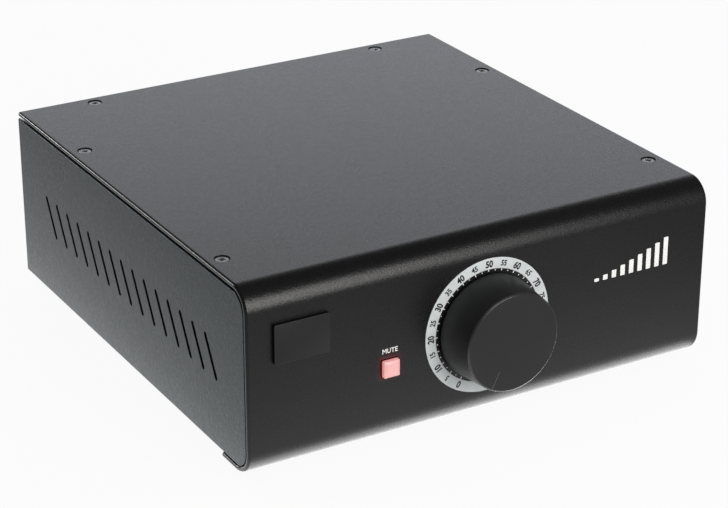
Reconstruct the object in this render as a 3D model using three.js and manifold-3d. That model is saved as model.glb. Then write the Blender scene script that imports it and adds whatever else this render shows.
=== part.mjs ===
// A desktop volume controller for studio monitors, in millimetres.
// X is to the right as seen from the front, Y runs to the back and Z is up.
import * as THREE from 'three';
import { mergeVertices } from 'three/addons/utils/BufferGeometryUtils.js';
import Module from 'manifold-3d';

const wasm = await Module();
wasm.setup();

// Casing
const bodyWidth = 210;
const bodyDepth = 213.6;
const coverHeight = 78.1;
const coverSheet = 2.4;
const topBend = 10;
const lowerBend = 11;
const lipReach = 22.3;
const traySheet = 1.5;
const trayBend = 2;
const flangeWidth = 12.5;
const rearSheet = 2;
const rearBend = 2.5;
const rearInset = 1;
const seamGap = 0.3;
const overrun = 1;

// Feet
const footHeight = 7;
const footRadius = 7.5;
const footTaper = 1;
const footStemRadius = 2.4;
const footBulbRadius = 3.2;
const footBulbHeight = 3;
const footInset = 19;
const footFrontPlace = 38;
const footRearPlace = 24;

// Cover screws
const sinkRadius = 3.2;
const headSunk = 0.35;
const screwShankRadius = 1.4;
const screwGap = 0.1;
const screwLength = 8;
const crossWidth = 0.7;
const crossSpan = 3;
const crossDepth = 0.9;
const sideScrewInset = 6.7;
const sideScrewPlaces = { front: 31.4, rear: 157.1 };
const rearScrewInset = 6.4;
const rearScrewSide = 33.7;

// Vents in the side walls
const ventCount = 15;
const ventPitch = 10.84;
const ventFirst = 29.7;
const ventLength = 19.2;
const ventWidth = 1.8;
const ventLean = THREE.MathUtils.degToRad(29);

// Front panel
const axisRise = 39.8;
const badgeWidth = 23.5;
const badgeHeight = 16.3;
const badgeThickness = 2.2;
const badgeCorner = 1;
const badgeLeft = 10.8;
const badgeRise = 46.7;
const ringOuterRadius = 28.3;
const ringInnerRadius = 23.7;
const ringThickness = 0.4;

// Volume knob
const knobReach = 18.6;
const knobFaceRadius = 20.4;
const knobBaseRadius = 22;
const knobChamfer = 0.9;
const knobWall = 2.2;
const knobFaceThickness = 3;
const knobLift = 0.9;
const knobHubRadius = 7;
const knobHubLength = 7.6;
const knobShaftPlay = 0.1;
const pointerAngle = THREE.MathUtils.degToRad(-150);
const pointerStart = 12.7;
const pointerWidth = 0.5;
const pointerDepth = 0.4;
const grubRadius = 1.4;
const grubLength = 3.4;
const grubPlay = 0.2;
const grubSocketRadius = 0.7;
const grubSocketDepth = 1.5;

// Potentiometer
const shaftRadius = 3;
const runningGap = 0.2;
const bushingRadius = 4.5;
const bushingReach = 7;
const potPlateThickness = 2;
const deckSize = 24;
const deckThickness = 6;
const deckCount = 8;
const rearPlateThickness = 1.5;
const shaftTail = 1;
const washerRadius = 9;
const washerThickness = 0.8;
const nutFlats = 13;
const nutThickness = 2.5;
const tieRadius = 1.1;
const tieHeadRadius = 2;
const tieHeadThickness = 1.2;
const tieInset = 2.6;
const terminalLength = 4;
const terminalWidth = 1.2;
const terminalThickness = 0.6;
const terminalPitch = 5;

// Mute button
const capSize = 6.9;
const capReach = 2.9;
const capChamfer = 0.5;
const capWall = 0.8;
const capFront = 1;
const capPlay = 0.3;
const capFlange = 0.8;
const capFlangeThickness = 1.5;
const buttonGap = 15.95;
const buttonRise = 32.9;
const plungerSize = 2.4;
const plungerDrop = 1;
const plungerDepth = 7;
const lampRadius = 0.8;
const lampRise = 1.6;
const lampReach = 6.5;
const switchSize = 10;
const switchLength = 11;
const frontBoardGap = 19.6;
const frontBoardWidth = 26;
const frontBoardHeight = 30;
const studRadius = 2;
const studTipRadius = 1.3;
const studTip = 3;
const studInset = 3.4;

// Boards
const boardThickness = 1.6;
const volumeBoardWidth = 34;
const volumeBoardMargin = 3;
const mainBoardWidth = 131;
const mainBoardLeft = 7;
const mainBoardFront = 68;
const mainBoardRearGap = 2;
const supportHeight = 8;
const supportRadius = 3;
const supportTipRadius = 1.5;
const supportTipPlay = 0.2;
const supportTip = 2.5;
const supportInset = 6;
const ribbonWidth = 25;
const ribbonThickness = 1;
const ribbonLanding = 3;
const ribbonRise = 3;
const capacitorRadius = 6.3;
const capacitorHeight = 20;
const capacitorCount = 2;
const capacitorPitch = 15;
const capacitorInset = 12;
const capacitorBevel = 0.8;

// Multi-pin connectors
const connectorWidth = 53;
const connectorHeight = 12.5;
const connectorFlange = 1;
const connectorBodyWidth = 46;
const connectorBodyDepth = 10;
const shellWidth = 38.9;
const shellHeight = 8.4;
const shellSlope = 1.4;
const shellCorner = 1.5;
const shellReach = 5.8;
const shellPlay = 0.4;
const connectorPlaces = { input: 38, output: 97 };
const jackPitch = 47;
const jackFlats = 5;
const jackLength = 5;
const jackShankRadius = 1.4;
const jackShankLength = 8;
const jackPlay = 0.2;

// Mains inlet
const inletHeight = 58;
const inletWidth = 28;
const inletDepth = 30;
const inletRim = 1.6;
const inletRimThickness = 2;
const inletPlay = 0.3;
const inletRise = 37;
const socketWidth = 24.4;
const socketHeight = 16.8;
const socketChamfer = 4.5;
const socketDepth = 17;
const socketDrop = 1.5;
const bladeWidth = 2;
const bladeHeight = 4;
const bladeLength = 12.5;
const bladePitch = 7;
const rockerRise = 18.5;
const rockerWidth = 20;
const rockerHalfHeight = 6.9;
const rockerEndFront = 3.6;
const rockerEndBack = 1.2;
const rockerMiddleFront = 2.4;
const rockerKeel = 2.4;
const rockerKeelHalf = 2.2;
const rockerTilt = THREE.MathUtils.degToRad(12);
const rockerSideGap = 0.4;
const rockerEndGap = 1.1;
const rockerPivotDepth = 2;
const rockerRoom = 5;
const rockerStubRadius = 1.4;
const rockerStubLength = 1.4;
const drawerWidth = 24.4;
const drawerHeight = 7.4;
const drawerDepth = 20;
const drawerReach = 1.5;
const drawerDrop = 18.5;
const drawerPlay = 0.3;
const drawerFloor = 1;
const drawerEndWall = 3;
const fuseRadius = 2.5;
const fuseLength = 20;
const gripWidth = 9;
const gripHeight = 1.4;
const gripDepth = 1;

// Ring-core transformer
const coreClearance = 7.25;
const coreInnerShare = 0.32;
const coreRoundingShare = 0.21;
const coreHeight = 30;
const coreBack = 112;
const clampShare = 0.75;
const clampThickness = 1.6;
const clampBoltRadius = 2.5;
const clampHeadRadius = 5;
const clampHeadThickness = 3.2;
const clampPlay = 0.3;

// Facets of round shapes
const fineFacets = 64;
const roundFacets = 32;
const smallFacets = 16;
const tinyFacets = 12;
const bendFacets = 5;
const slotFacets = 2;
const coreFacets = 2;
const hexSides = 6;
const weld = 1e-4;

// Turns
const quarter = Math.PI / 2;
const halfTurn = Math.PI;

// Places that follow from the sizes above
const halfWidth = bodyWidth / 2;
const coverLow = footHeight - seamGap - coverSheet;
const coverTop = coverLow + coverHeight;
const trayLow = footHeight;
const floorTop = trayLow + traySheet;
const trayTop = coverTop - coverSheet - seamGap;
const trayFront = coverSheet + seamGap;
const rearOuter = bodyDepth - rearInset;
const rearInner = rearOuter - rearSheet;
const rearFlangeStart = rearOuter - flangeWidth;
const axisHeight = coverLow + axisRise;
const buttonX = -ringOuterRadius - buttonGap;
const buttonZ = coverLow + buttonRise;
const deckPitch = deckThickness + seamGap;
const deckStart = coverSheet + potPlateThickness + seamGap;
const deckEnd = deckStart + deckCount * deckPitch;
const rearPlateEnd = deckEnd + rearPlateThickness;
const tiePlace = deckSize / 2 - tieInset;
const knobBack = -knobLift;
const hubFloor = knobFaceThickness - knobReach;
const hubEnd = hubFloor + knobHubLength;
const shaftFront = hubFloor + runningGap;
const grubY = (hubFloor + hubEnd) / 2;
const volumeBoardTop = axisHeight - deckSize / 2 - terminalLength;
const boardTop = floorTop + supportHeight + boardThickness;
const boardBottom = boardTop - boardThickness;
const boardLeft = mainBoardLeft - halfWidth;
const boardRight = boardLeft + mainBoardWidth;
const boardRear = rearInner - mainBoardRearGap;
const sideRoom = halfWidth - traySheet - boardRight;
const sideMiddle = boardRight + sideRoom / 2;
const coreOuterRadius = sideRoom / 2 - coreClearance;
const coreInnerRadius = coreOuterRadius * coreInnerShare;
const coreRounding = coreOuterRadius * coreRoundingShare;
const clampRadius = coreOuterRadius * clampShare;
const connectorZ = boardTop + connectorHeight / 2;
const switchFront = coverSheet + frontBoardGap - switchLength;
const frontBoardFront = coverSheet + frontBoardGap;
const inletZ = trayLow + inletRise;
const inletFace = rearOuter + inletRimThickness;
const socketZ = inletZ - socketDrop;
const rockerZ = inletZ + rockerRise;
const rockerY = inletFace - rockerPivotDepth;
const drawerZ = inletZ - drawerDrop;
const rearReach = rearOuter + shellReach;
const screwShankTop = coverTop - headSunk;

// Solid building

// The geometry with shared corners merged, empty triangles left out and its faces pointing out.
function closedMesh(geometry) {
  const bare = geometry.clone();
  bare.deleteAttribute('normal');
  bare.deleteAttribute('uv');
  const merged = mergeVertices(bare, weld);
  const kept = [];
  const corners = merged.index.array;
  for (let i = 0; i < corners.length; i += 3) {
    const [a, b, c] = corners.slice(i, i + 3);
    if (a !== b && b !== c && c !== a) {
      kept.push(a, b, c);
    }
  }
  const place = merged.attributes.position;
  const corner = [new THREE.Vector3(), new THREE.Vector3(), new THREE.Vector3()];
  let volume = 0;
  for (let i = 0; i < kept.length; i += 3) {
    corner.forEach((point, k) => point.fromBufferAttribute(place, kept[i + k]));
    volume += corner[0].dot(corner[1].cross(corner[2]));
  }
  if (volume < 0) {
    kept.reverse();
  }
  merged.setIndex(kept);
  return merged;
}

// A solid that can be joined and cut.
function solidOf(geometry) {
  const merged = closedMesh(geometry);
  const vertProperties = new Float32Array(merged.attributes.position.array);
  const triVerts = new Uint32Array(merged.index.array);
  return new wasm.Manifold(new wasm.Mesh({ numProp: 3, vertProperties, triVerts }));
}

// The geometry of a solid that has been joined or cut.
function geometryOf(solid) {
  const mesh = solid.getMesh();
  const geometry = new THREE.BufferGeometry();
  geometry.setAttribute('position', new THREE.BufferAttribute(new Float32Array(mesh.vertProperties), 3));
  geometry.setIndex(new THREE.BufferAttribute(new Uint32Array(mesh.triVerts), 1));
  return geometry;
}

// One solid from a first solid with others added to it.
function joined(first, others) {
  return others.reduce((whole, piece) => whole.add(piece), first);
}

// One solid with other solids taken out of it.
function cut(first, tools) {
  return tools.reduce((whole, tool) => whole.subtract(tool), first);
}

// A box between its low and its high corner.
function block(low, high) {
  const size = high.map((value, i) => value - low[i]);
  const middle = high.map((value, i) => (value + low[i]) / 2);
  return solidOf(new THREE.BoxGeometry(...size).translate(...middle));
}

// A shape turned round an axis through a point, from pairs of radius and place along that axis.
function turned(profile, axis, center, facets, phase = 0) {
  const points = profile.map(([radius, along]) => new THREE.Vector2(radius, along));
  const geometry = new THREE.LatheGeometry(points, facets, phase);
  if (axis === 'z') {
    geometry.rotateX(Math.PI / 2);
  }
  if (axis === 'x') {
    geometry.rotateZ(-Math.PI / 2);
  }
  return solidOf(geometry.translate(...center));
}

// A plain round bar along an axis.
function bar(axis, radius, from, to, center, facets) {
  return turned([[0, from], [radius, from], [radius, to], [0, to]], axis, center, facets);
}

// An outline in X and Z, carried along Y.
function alongY(shape, from, to) {
  const options = { depth: to - from, bevelEnabled: false, curveSegments: bendFacets };
  const geometry = new THREE.ExtrudeGeometry(shape, options);
  const turn = new THREE.Matrix4().makeBasis(
    new THREE.Vector3(1, 0, 0),
    new THREE.Vector3(0, 0, 1),
    new THREE.Vector3(0, -1, 0),
  );
  return solidOf(geometry.applyMatrix4(turn).translate(0, to, 0));
}

// An outline in Y and Z, carried along X.
function alongX(shape, from, to, facets = bendFacets) {
  const options = { depth: to - from, bevelEnabled: false, curveSegments: facets };
  const geometry = new THREE.ExtrudeGeometry(shape, options);
  const turn = new THREE.Matrix4().makeBasis(
    new THREE.Vector3(0, 1, 0),
    new THREE.Vector3(0, 0, 1),
    new THREE.Vector3(1, 0, 0),
  );
  return solidOf(geometry.applyMatrix4(turn).translate(from, 0, 0));
}

// A rectangle with four round corners, centred on a point.
function roundedRectangle(centerU, centerV, width, height, radius) {
  const u = width / 2 - radius;
  const v = height / 2 - radius;
  const shape = new THREE.Shape();
  shape.absarc(centerU + u, centerV + v, radius, 0, quarter);
  shape.absarc(centerU - u, centerV + v, radius, quarter, halfTurn);
  shape.absarc(centerU - u, centerV - v, radius, halfTurn, halfTurn + quarter);
  shape.absarc(centerU + u, centerV - v, radius, halfTurn + quarter, 2 * halfTurn);
  shape.closePath();
  return shape;
}

// A regular hexagon bar along Y with the given width across its flats.
function hexBar(flats, from, to, center) {
  const radius = flats / Math.sqrt(3);
  return bar('y', radius, from, to, center, hexSides);
}

// A round corner of an outline, with a straight line up to where it starts.
function bend(shape, center, radius, from, to, clockwise = false) {
  const [u, v] = center;
  shape.lineTo(u + radius * Math.cos(from), v + radius * Math.sin(from));
  shape.absarc(u, v, radius, from, to, clockwise);
}

// The points of an outline as a shape.
function outline(points) {
  return new THREE.Shape(points.map(([u, v]) => new THREE.Vector2(u, v)));
}

// Casing pieces

// The six places of the cover screws, as X and Y.
function coverScrewPlaces() {
  const side = halfWidth - sideScrewInset;
  const back = bodyDepth - rearScrewInset;
  const places = [];
  for (const sign of [-1, 1]) {
    places.push([sign * side, sideScrewPlaces.front]);
    places.push([sign * side, sideScrewPlaces.rear]);
    places.push([sign * (halfWidth - rearScrewSide), back]);
  }
  return places;
}

// The two places of the studs that hold the front board, as X and Z.
function studPlaces() {
  const rise = frontBoardHeight / 2 - studInset;
  const side = frontBoardWidth / 2 - studInset;
  return [[buttonX - side, buttonZ + rise], [buttonX + side, buttonZ + rise]];
}

// The hole under one cover screw: a cone down from the top face, then the shank's bore.
function screwSink([x, y]) {
  const boreRadius = screwShankRadius + screwGap;
  const coneEnd = coverTop - sinkRadius + boreRadius;
  const profile = [
    [0, trayTop],
    [boreRadius, trayTop],
    [boreRadius, coneEnd],
    [sinkRadius, coverTop],
    [sinkRadius, coverTop + overrun],
    [0, coverTop + overrun],
  ];
  return turned(profile, 'z', [x, y, 0], smallFacets);
}

// The bores for the cover screws in a flange of the given thickness.
function flangeBores(thickness) {
  const radius = screwShankRadius + screwGap;
  const low = trayTop - thickness - overrun;
  return coverScrewPlaces().map(([x, y]) => bar('z', radius, low, trayTop + overrun, [x, y, 0], smallFacets));
}

// One bent sheet: the top, the front and a short lip under the tray.
function makeWrapCover() {
  const shape = new THREE.Shape();
  const upper = [topBend, coverTop - topBend];
  const lower = [lowerBend, coverLow + lowerBend];
  shape.moveTo(bodyDepth, coverTop);
  bend(shape, upper, topBend, quarter, halfTurn);
  bend(shape, lower, lowerBend, halfTurn, halfTurn + quarter);
  shape.lineTo(lipReach, coverLow);
  shape.lineTo(lipReach, coverLow + coverSheet);
  bend(shape, lower, lowerBend - coverSheet, halfTurn + quarter, halfTurn, true);
  bend(shape, upper, topBend - coverSheet, halfTurn, quarter, true);
  shape.lineTo(bodyDepth, coverTop - coverSheet);
  shape.closePath();
  const sheet = alongX(shape, -halfWidth, halfWidth);
  const studs = studPlaces().map(([x, z]) => {
    const shoulder = frontBoardFront;
    const profile = [
      [0, coverSheet / 2],
      [studRadius, coverSheet / 2],
      [studRadius, shoulder],
      [studTipRadius, shoulder],
      [studTipRadius, shoulder + studTip],
      [0, shoulder + studTip],
    ];
    return turned(profile, 'y', [x, 0, z], smallFacets);
  });
  const through = coverSheet + overrun;
  const axis = [0, 0, axisHeight];
  const bushingHole = bar('y', bushingRadius + runningGap, -overrun, through, axis, roundFacets);
  const room = capSize / 2 + capPlay;
  const capWindow = block(
    [buttonX - room, -overrun, buttonZ - room],
    [buttonX + room, through, buttonZ + room],
  );
  const holes = coverScrewPlaces().map(screwSink);
  return cut(joined(sheet, studs), [bushingHole, capWindow, ...holes]);
}

// The section of the tray in X and Z: floor, two walls and an inward flange on each wall.
function traySection() {
  const shape = new THREE.Shape();
  const inner = trayBend - traySheet;
  const side = halfWidth - trayBend;
  const high = trayTop - trayBend;
  const low = trayLow + trayBend;
  const edge = halfWidth - flangeWidth;
  shape.moveTo(-edge, trayTop);
  bend(shape, [-side, high], trayBend, quarter, halfTurn);
  bend(shape, [-side, low], trayBend, halfTurn, halfTurn + quarter);
  bend(shape, [side, low], trayBend, halfTurn + quarter, 2 * halfTurn);
  bend(shape, [side, high], trayBend, 0, quarter);
  shape.lineTo(edge, trayTop);
  shape.lineTo(edge, trayTop - traySheet);
  bend(shape, [side, high], inner, quarter, 0, true);
  bend(shape, [side, low], inner, 0, -quarter, true);
  bend(shape, [-side, low], inner, -quarter, -halfTurn, true);
  bend(shape, [-side, high], inner, halfTurn, quarter, true);
  shape.lineTo(-edge, trayTop - traySheet);
  shape.closePath();
  return shape;
}

// The side view of the tray, whose front corners follow the bends of the cover.
function traySide() {
  const upper = topBend - coverSheet - seamGap;
  const lower = lowerBend - coverSheet - seamGap;
  const shape = new THREE.Shape();
  shape.moveTo(bodyDepth, trayTop);
  bend(shape, [trayFront + upper, trayTop - upper], upper, quarter, halfTurn);
  bend(shape, [trayFront + lower, trayLow + lower], lower, halfTurn, halfTurn + quarter);
  shape.lineTo(bodyDepth, trayLow);
  shape.closePath();
  return shape;
}

// One leaning slot with round ends, cut through the wall at the given X.
function ventSlot(y, wallX) {
  const reach = ventLength / 2 - ventWidth / 2;
  const radius = ventWidth / 2;
  const upAngle = Math.PI / 2 - ventLean;
  const stepY = reach * Math.cos(upAngle);
  const stepZ = reach * Math.sin(upAngle);
  const shape = new THREE.Shape();
  shape.absarc(y + stepY, axisHeight + stepZ, radius, upAngle - quarter, upAngle + quarter);
  shape.absarc(y - stepY, axisHeight - stepZ, radius, upAngle + quarter, upAngle + 3 * quarter);
  shape.closePath();
  return alongX(shape, wallX - overrun, wallX + traySheet + overrun, slotFacets);
}

// Floor and side walls in one bent sheet, with vents, flange bores and floor holes.
function makeChassisTray() {
  const section = alongY(traySection(), 0, bodyDepth);
  const side = alongX(traySide(), -halfWidth - overrun, halfWidth + overrun);
  const tools = [];
  for (let i = 0; i < ventCount; i += 1) {
    const y = ventFirst + i * ventPitch;
    tools.push(ventSlot(y, -halfWidth));
    tools.push(ventSlot(y, halfWidth - traySheet));
  }
  const inside = halfWidth - traySheet;
  tools.push(block(
    [-inside, rearFlangeStart - seamGap, floorTop + trayBend],
    [inside, bodyDepth + overrun, trayTop + overrun],
  ));
  tools.push(...flangeBores(traySheet));
  const stemHole = footStemRadius + seamGap;
  for (const [x, y] of footPlaces()) {
    tools.push(bar('z', stemHole, trayLow - overrun, floorTop + overrun, [x, y, 0], smallFacets));
  }
  const boltHole = clampBoltRadius + clampPlay;
  const bolt = [sideMiddle, coreBack, 0];
  tools.push(bar('z', boltHole, trayLow - overrun, floorTop + overrun, bolt, smallFacets));
  return cut(section.intersect(side), tools);
}

// The section of the rear panel in Y and Z: a plate with a forward flange at the top and the bottom.
function rearSection() {
  const shape = new THREE.Shape();
  const inner = rearBend - rearSheet;
  const bendY = rearOuter - rearBend;
  const high = trayTop - rearBend;
  const low = floorTop + rearBend;
  shape.moveTo(rearFlangeStart, floorTop);
  bend(shape, [bendY, low], rearBend, -quarter, 0);
  bend(shape, [bendY, high], rearBend, 0, quarter);
  shape.lineTo(rearFlangeStart, trayTop);
  shape.lineTo(rearFlangeStart, trayTop - rearSheet);
  bend(shape, [bendY, high], inner, quarter, 0, true);
  bend(shape, [bendY, low], inner, 0, -quarter, true);
  shape.lineTo(rearFlangeStart, floorTop + rearSheet);
  shape.closePath();
  return shape;
}

// The outline of a connector's shell in X and Z: wider above than below, grown by a margin.
function shellOutline(x, margin) {
  const high = shellHeight / 2 + margin;
  const wide = shellWidth / 2 + margin;
  const narrow = wide - shellSlope;
  const soft = shellCorner;
  return outline([
    [x - wide + soft, connectorZ + high],
    [x - wide, connectorZ + high - soft],
    [x - narrow, connectorZ - high + soft],
    [x - narrow + soft, connectorZ - high],
    [x + narrow - soft, connectorZ - high],
    [x + narrow, connectorZ - high + soft],
    [x + wide, connectorZ + high - soft],
    [x + wide - soft, connectorZ + high],
  ]);
}

// The X places of the two connectors.
function connectorXs() {
  return Object.values(connectorPlaces).map((place) => place - halfWidth);
}

// The plate at the back with its cutouts.
function makeRearPanel() {
  const side = halfWidth - trayBend - seamGap;
  const sheet = alongX(rearSection(), -side, side);
  const tools = [];
  for (const x of connectorXs()) {
    tools.push(alongY(shellOutline(x, shellPlay), rearInner - overrun, rearOuter + overrun));
    for (const sign of [-1, 1]) {
      const center = [x + sign * jackPitch / 2, 0, connectorZ];
      const radius = jackShankRadius + jackPlay;
      tools.push(bar('y', radius, rearInner - overrun, rearOuter + overrun, center, smallFacets));
    }
  }
  const halfInlet = inletWidth / 2 + inletPlay;
  const tallInlet = inletHeight / 2 - inletRim + inletPlay;
  tools.push(block(
    [sideMiddle - halfInlet, rearInner - overrun, inletZ - tallInlet],
    [sideMiddle + halfInlet, rearOuter + overrun, inletZ + tallInlet],
  ));
  tools.push(...flangeBores(rearSheet));
  return cut(sheet, tools);
}

// A countersunk screw with a cross recess.
function makeCoverScrew([x, y]) {
  const headRadius = sinkRadius - headSunk - screwGap;
  const coneEnd = screwShankTop - headRadius + screwShankRadius;
  const low = screwShankTop - screwLength;
  const profile = [
    [0, low],
    [screwShankRadius, low],
    [screwShankRadius, coneEnd],
    [headRadius, screwShankTop],
    [0, screwShankTop],
  ];
  const body = turned(profile, 'z', [x, y, 0], smallFacets);
  const wide = crossSpan / 2;
  const thin = crossWidth / 2;
  const floor = screwShankTop - crossDepth;
  const high = screwShankTop + overrun;
  return cut(body, [
    block([x - wide, y - thin, floor], [x + wide, y + thin, high]),
    block([x - thin, y - wide, floor], [x + thin, y + wide, high]),
  ]);
}

// The four places of the feet, as X and Y.
function footPlaces() {
  const side = halfWidth - footInset;
  const places = [];
  for (const y of [footFrontPlace, bodyDepth - footRearPlace]) {
    places.push([-side, y]);
    places.push([side, y]);
  }
  return places;
}

// A rubber foot whose stem is pushed through the floor and held by a bulb.
function makeRubberFoot([x, y]) {
  const bulbLow = floorTop + seamGap;
  const profile = [
    [0, 0],
    [footRadius - footTaper, 0],
    [footRadius, footHeight],
    [footStemRadius, footHeight],
    [footStemRadius, bulbLow],
    [footBulbRadius, bulbLow],
    [footStemRadius, bulbLow + footBulbHeight],
    [0, bulbLow + footBulbHeight],
  ];
  return turned(profile, 'z', [x, y, 0], smallFacets);
}

// The raised plate on the front, left bare.
function makeBadgePlate() {
  const x = badgeLeft + badgeWidth / 2 - halfWidth;
  const z = coverLow + badgeRise + badgeHeight / 2;
  return alongY(roundedRectangle(x, z, badgeWidth, badgeHeight, badgeCorner), -badgeThickness, 0);
}

// The flat ring that carries the numbers.
function makeDialRing() {
  const profile = [
    [ringInnerRadius, -ringThickness],
    [ringOuterRadius, -ringThickness],
    [ringOuterRadius, 0],
    [ringInnerRadius, 0],
    [ringInnerRadius, -ringThickness],
  ];
  return turned(profile, 'y', [0, 0, axisHeight], fineFacets);
}

// Volume control pieces

// The radius of the knob's side at a place along its axis.
function knobRadiusAt(y) {
  const share = (y + knobReach) / (knobReach + knobBack);
  return knobFaceRadius + share * (knobBaseRadius - knobFaceRadius);
}

// The knob: a hollow cap with a hub, a pointer groove on its face and a hole for the grub screw.
function makeVolumeKnob() {
  const chamferEnd = knobChamfer - knobReach;
  const profile = [
    [0, -knobReach],
    [knobFaceRadius - knobChamfer, -knobReach],
    [knobRadiusAt(chamferEnd), chamferEnd],
    [knobBaseRadius, knobBack],
    [knobBaseRadius - knobWall, knobBack],
    [knobRadiusAt(hubFloor) - knobWall, hubFloor],
    [knobHubRadius, hubFloor],
    [knobHubRadius, hubEnd],
    [shaftRadius + knobShaftPlay, hubEnd],
    [shaftRadius + knobShaftPlay, hubFloor],
    [0, hubFloor],
  ];
  const body = turned(profile, 'y', [0, 0, axisHeight], fineFacets);
  const length = knobBaseRadius - pointerStart;
  const groove = new THREE.BoxGeometry(pointerWidth, pointerDepth + overrun, length);
  groove.translate(0, pointerDepth / 2 - overrun / 2 - knobReach, pointerStart + length / 2);
  groove.rotateY(pointerAngle);
  groove.translate(0, 0, axisHeight);
  const outside = -knobBaseRadius - overrun;
  const grub = [0, grubY, axisHeight];
  const grubHole = bar('z', grubRadius + grubPlay, outside, -shaftRadius, grub, smallFacets);
  return cut(body, [solidOf(groove), grubHole]);
}

// The grub screw that clamps the knob to its shaft.
function makeGrubScrew() {
  const tip = -shaftRadius - runningGap;
  const head = tip - grubLength;
  const profile = [
    [0, head + grubSocketDepth],
    [grubSocketRadius, head + grubSocketDepth],
    [grubSocketRadius, head],
    [grubRadius, head],
    [grubRadius, tip],
    [0, tip],
  ];
  return turned(profile, 'z', [0, grubY, axisHeight], smallFacets);
}

// The shaft that runs through every gang.
function makePotShaft() {
  return bar('y', shaftRadius, shaftFront, rearPlateEnd + shaftTail, [0, 0, axisHeight], roundFacets);
}

// The threaded bushing with the front plate behind the panel.
function makePotBushing() {
  const half = deckSize / 2;
  const plate = block(
    [-half, coverSheet, axisHeight - half],
    [half, coverSheet + potPlateThickness, axisHeight + half],
  );
  const center = [0, 0, axisHeight];
  const tip = -bushingReach;
  const neck = bar('y', bushingRadius, tip, coverSheet + potPlateThickness / 2, center, roundFacets);
  const bore = bar('y', shaftRadius + runningGap, tip - overrun, deckStart + overrun, center, roundFacets);
  return cut(joined(plate, [neck]), [bore]);
}

// The washer between the nut and the panel.
function makePotWasher() {
  const inner = bushingRadius + runningGap;
  const profile = [
    [inner, -washerThickness],
    [washerRadius, -washerThickness],
    [washerRadius, 0],
    [inner, 0],
    [inner, -washerThickness],
  ];
  return turned(profile, 'y', [0, 0, axisHeight], roundFacets);
}

// The nut that holds the bushing.
function makePotNut() {
  const center = [0, 0, axisHeight];
  const back = -washerThickness;
  const front = back - nutThickness;
  const body = hexBar(nutFlats, front, back, center);
  const radius = bushingRadius + runningGap;
  return cut(body, [bar('y', radius, front - overrun, back + overrun, center, roundFacets)]);
}

// The two places of the tie bolts, as X and Z.
function tiePlaces() {
  return [[-tiePlace, axisHeight + tiePlace], [tiePlace, axisHeight - tiePlace]];
}

// The bores that the shaft and the tie bolts need in a gang or plate.
function gangBores(from, to) {
  const radius = tieRadius + runningGap;
  const bores = tiePlaces().map(([x, z]) => bar('y', radius, from, to, [x, 0, z], tinyFacets));
  bores.push(bar('y', shaftRadius + runningGap, from, to, [0, 0, axisHeight], smallFacets));
  return bores;
}

// One gang of the potentiometer with its three terminals.
function makePotDeck(index) {
  const front = deckStart + index * deckPitch;
  const back = front + deckThickness;
  const wide = deckSize / 2;
  const body = block([-wide, front, axisHeight - wide], [wide, back, axisHeight + wide]);
  const middle = (front + back) / 2;
  const top = axisHeight - deckSize / 2 + overrun;
  const terminals = [-terminalPitch, 0, terminalPitch].map((x) => block(
    [x - terminalWidth / 2, middle - terminalThickness / 2, volumeBoardTop],
    [x + terminalWidth / 2, middle + terminalThickness / 2, top],
  ));
  return cut(joined(body, terminals), gangBores(front - overrun, back + overrun));
}

// The plate that closes the stack of gangs.
function makePotRearPlate() {
  const half = deckSize / 2;
  const plate = block([-half, deckEnd, axisHeight - half], [half, rearPlateEnd, axisHeight + half]);
  return cut(plate, gangBores(deckEnd - overrun, rearPlateEnd + overrun));
}

// A long bolt that ties the stack to the front plate.
function makeTieBolt([x, z]) {
  const head = rearPlateEnd + tieHeadThickness;
  const front = coverSheet + potPlateThickness;
  const profile = [
    [0, front],
    [tieRadius, front],
    [tieRadius, rearPlateEnd],
    [tieHeadRadius, rearPlateEnd],
    [tieHeadRadius, head],
    [0, head],
  ];
  return turned(profile, 'y', [x, 0, z], smallFacets);
}

// The board under the gangs.
function makeVolumeBoard() {
  const half = volumeBoardWidth / 2;
  return block(
    [-half, deckStart, volumeBoardTop - boardThickness],
    [half, rearPlateEnd + volumeBoardMargin, volumeBoardTop],
  );
}

// The flat lead from the volume board down to the main board.
function makeVolumeRibbon() {
  const start = rearPlateEnd + volumeBoardMargin;
  const rise = volumeBoardTop + ribbonRise;
  const end = mainBoardFront + ribbonLanding;
  const points = [
    [start - ribbonLanding, volumeBoardTop],
    [start - ribbonLanding, rise],
    [end, rise],
    [end, boardTop],
    [end - ribbonThickness, boardTop],
    [end - ribbonThickness, rise - ribbonThickness],
    [start - ribbonLanding + ribbonThickness, rise - ribbonThickness],
    [start - ribbonLanding + ribbonThickness, volumeBoardTop],
  ];
  return alongX(outline(points), -ribbonWidth / 2, ribbonWidth / 2);
}

// Mute button pieces

// The clear cap: a hollow square with bevelled front edges and a flange that stops it behind the panel.
function makeMuteCap() {
  const half = capSize / 2;
  const flangeFront = coverSheet + seamGap;
  const back = flangeFront + capFlangeThickness;
  const wide = half + capFlange;
  const profile = [
    [0, -capReach],
    [(half - capChamfer) * Math.SQRT2, -capReach],
    [half * Math.SQRT2, capChamfer - capReach],
    [half * Math.SQRT2, back],
    [0, back],
  ];
  const stem = turned(profile, 'y', [buttonX, 0, buttonZ], 4, Math.PI / 4);
  const flange = block([buttonX - wide, flangeFront, buttonZ - wide], [buttonX + wide, back, buttonZ + wide]);
  const room = half - capWall;
  const hollow = block(
    [buttonX - room, capFront - capReach, buttonZ - room],
    [buttonX + room, back + overrun, buttonZ + room],
  );
  return cut(joined(stem, [flange]), [hollow]);
}

// The square rod behind the cap that works the switch.
function makeMutePlunger() {
  const half = plungerSize / 2;
  const z = buttonZ - plungerDrop;
  return block(
    [buttonX - half, capFront - capReach, z - half],
    [buttonX + half, switchFront + plungerDepth, z + half],
  );
}

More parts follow.
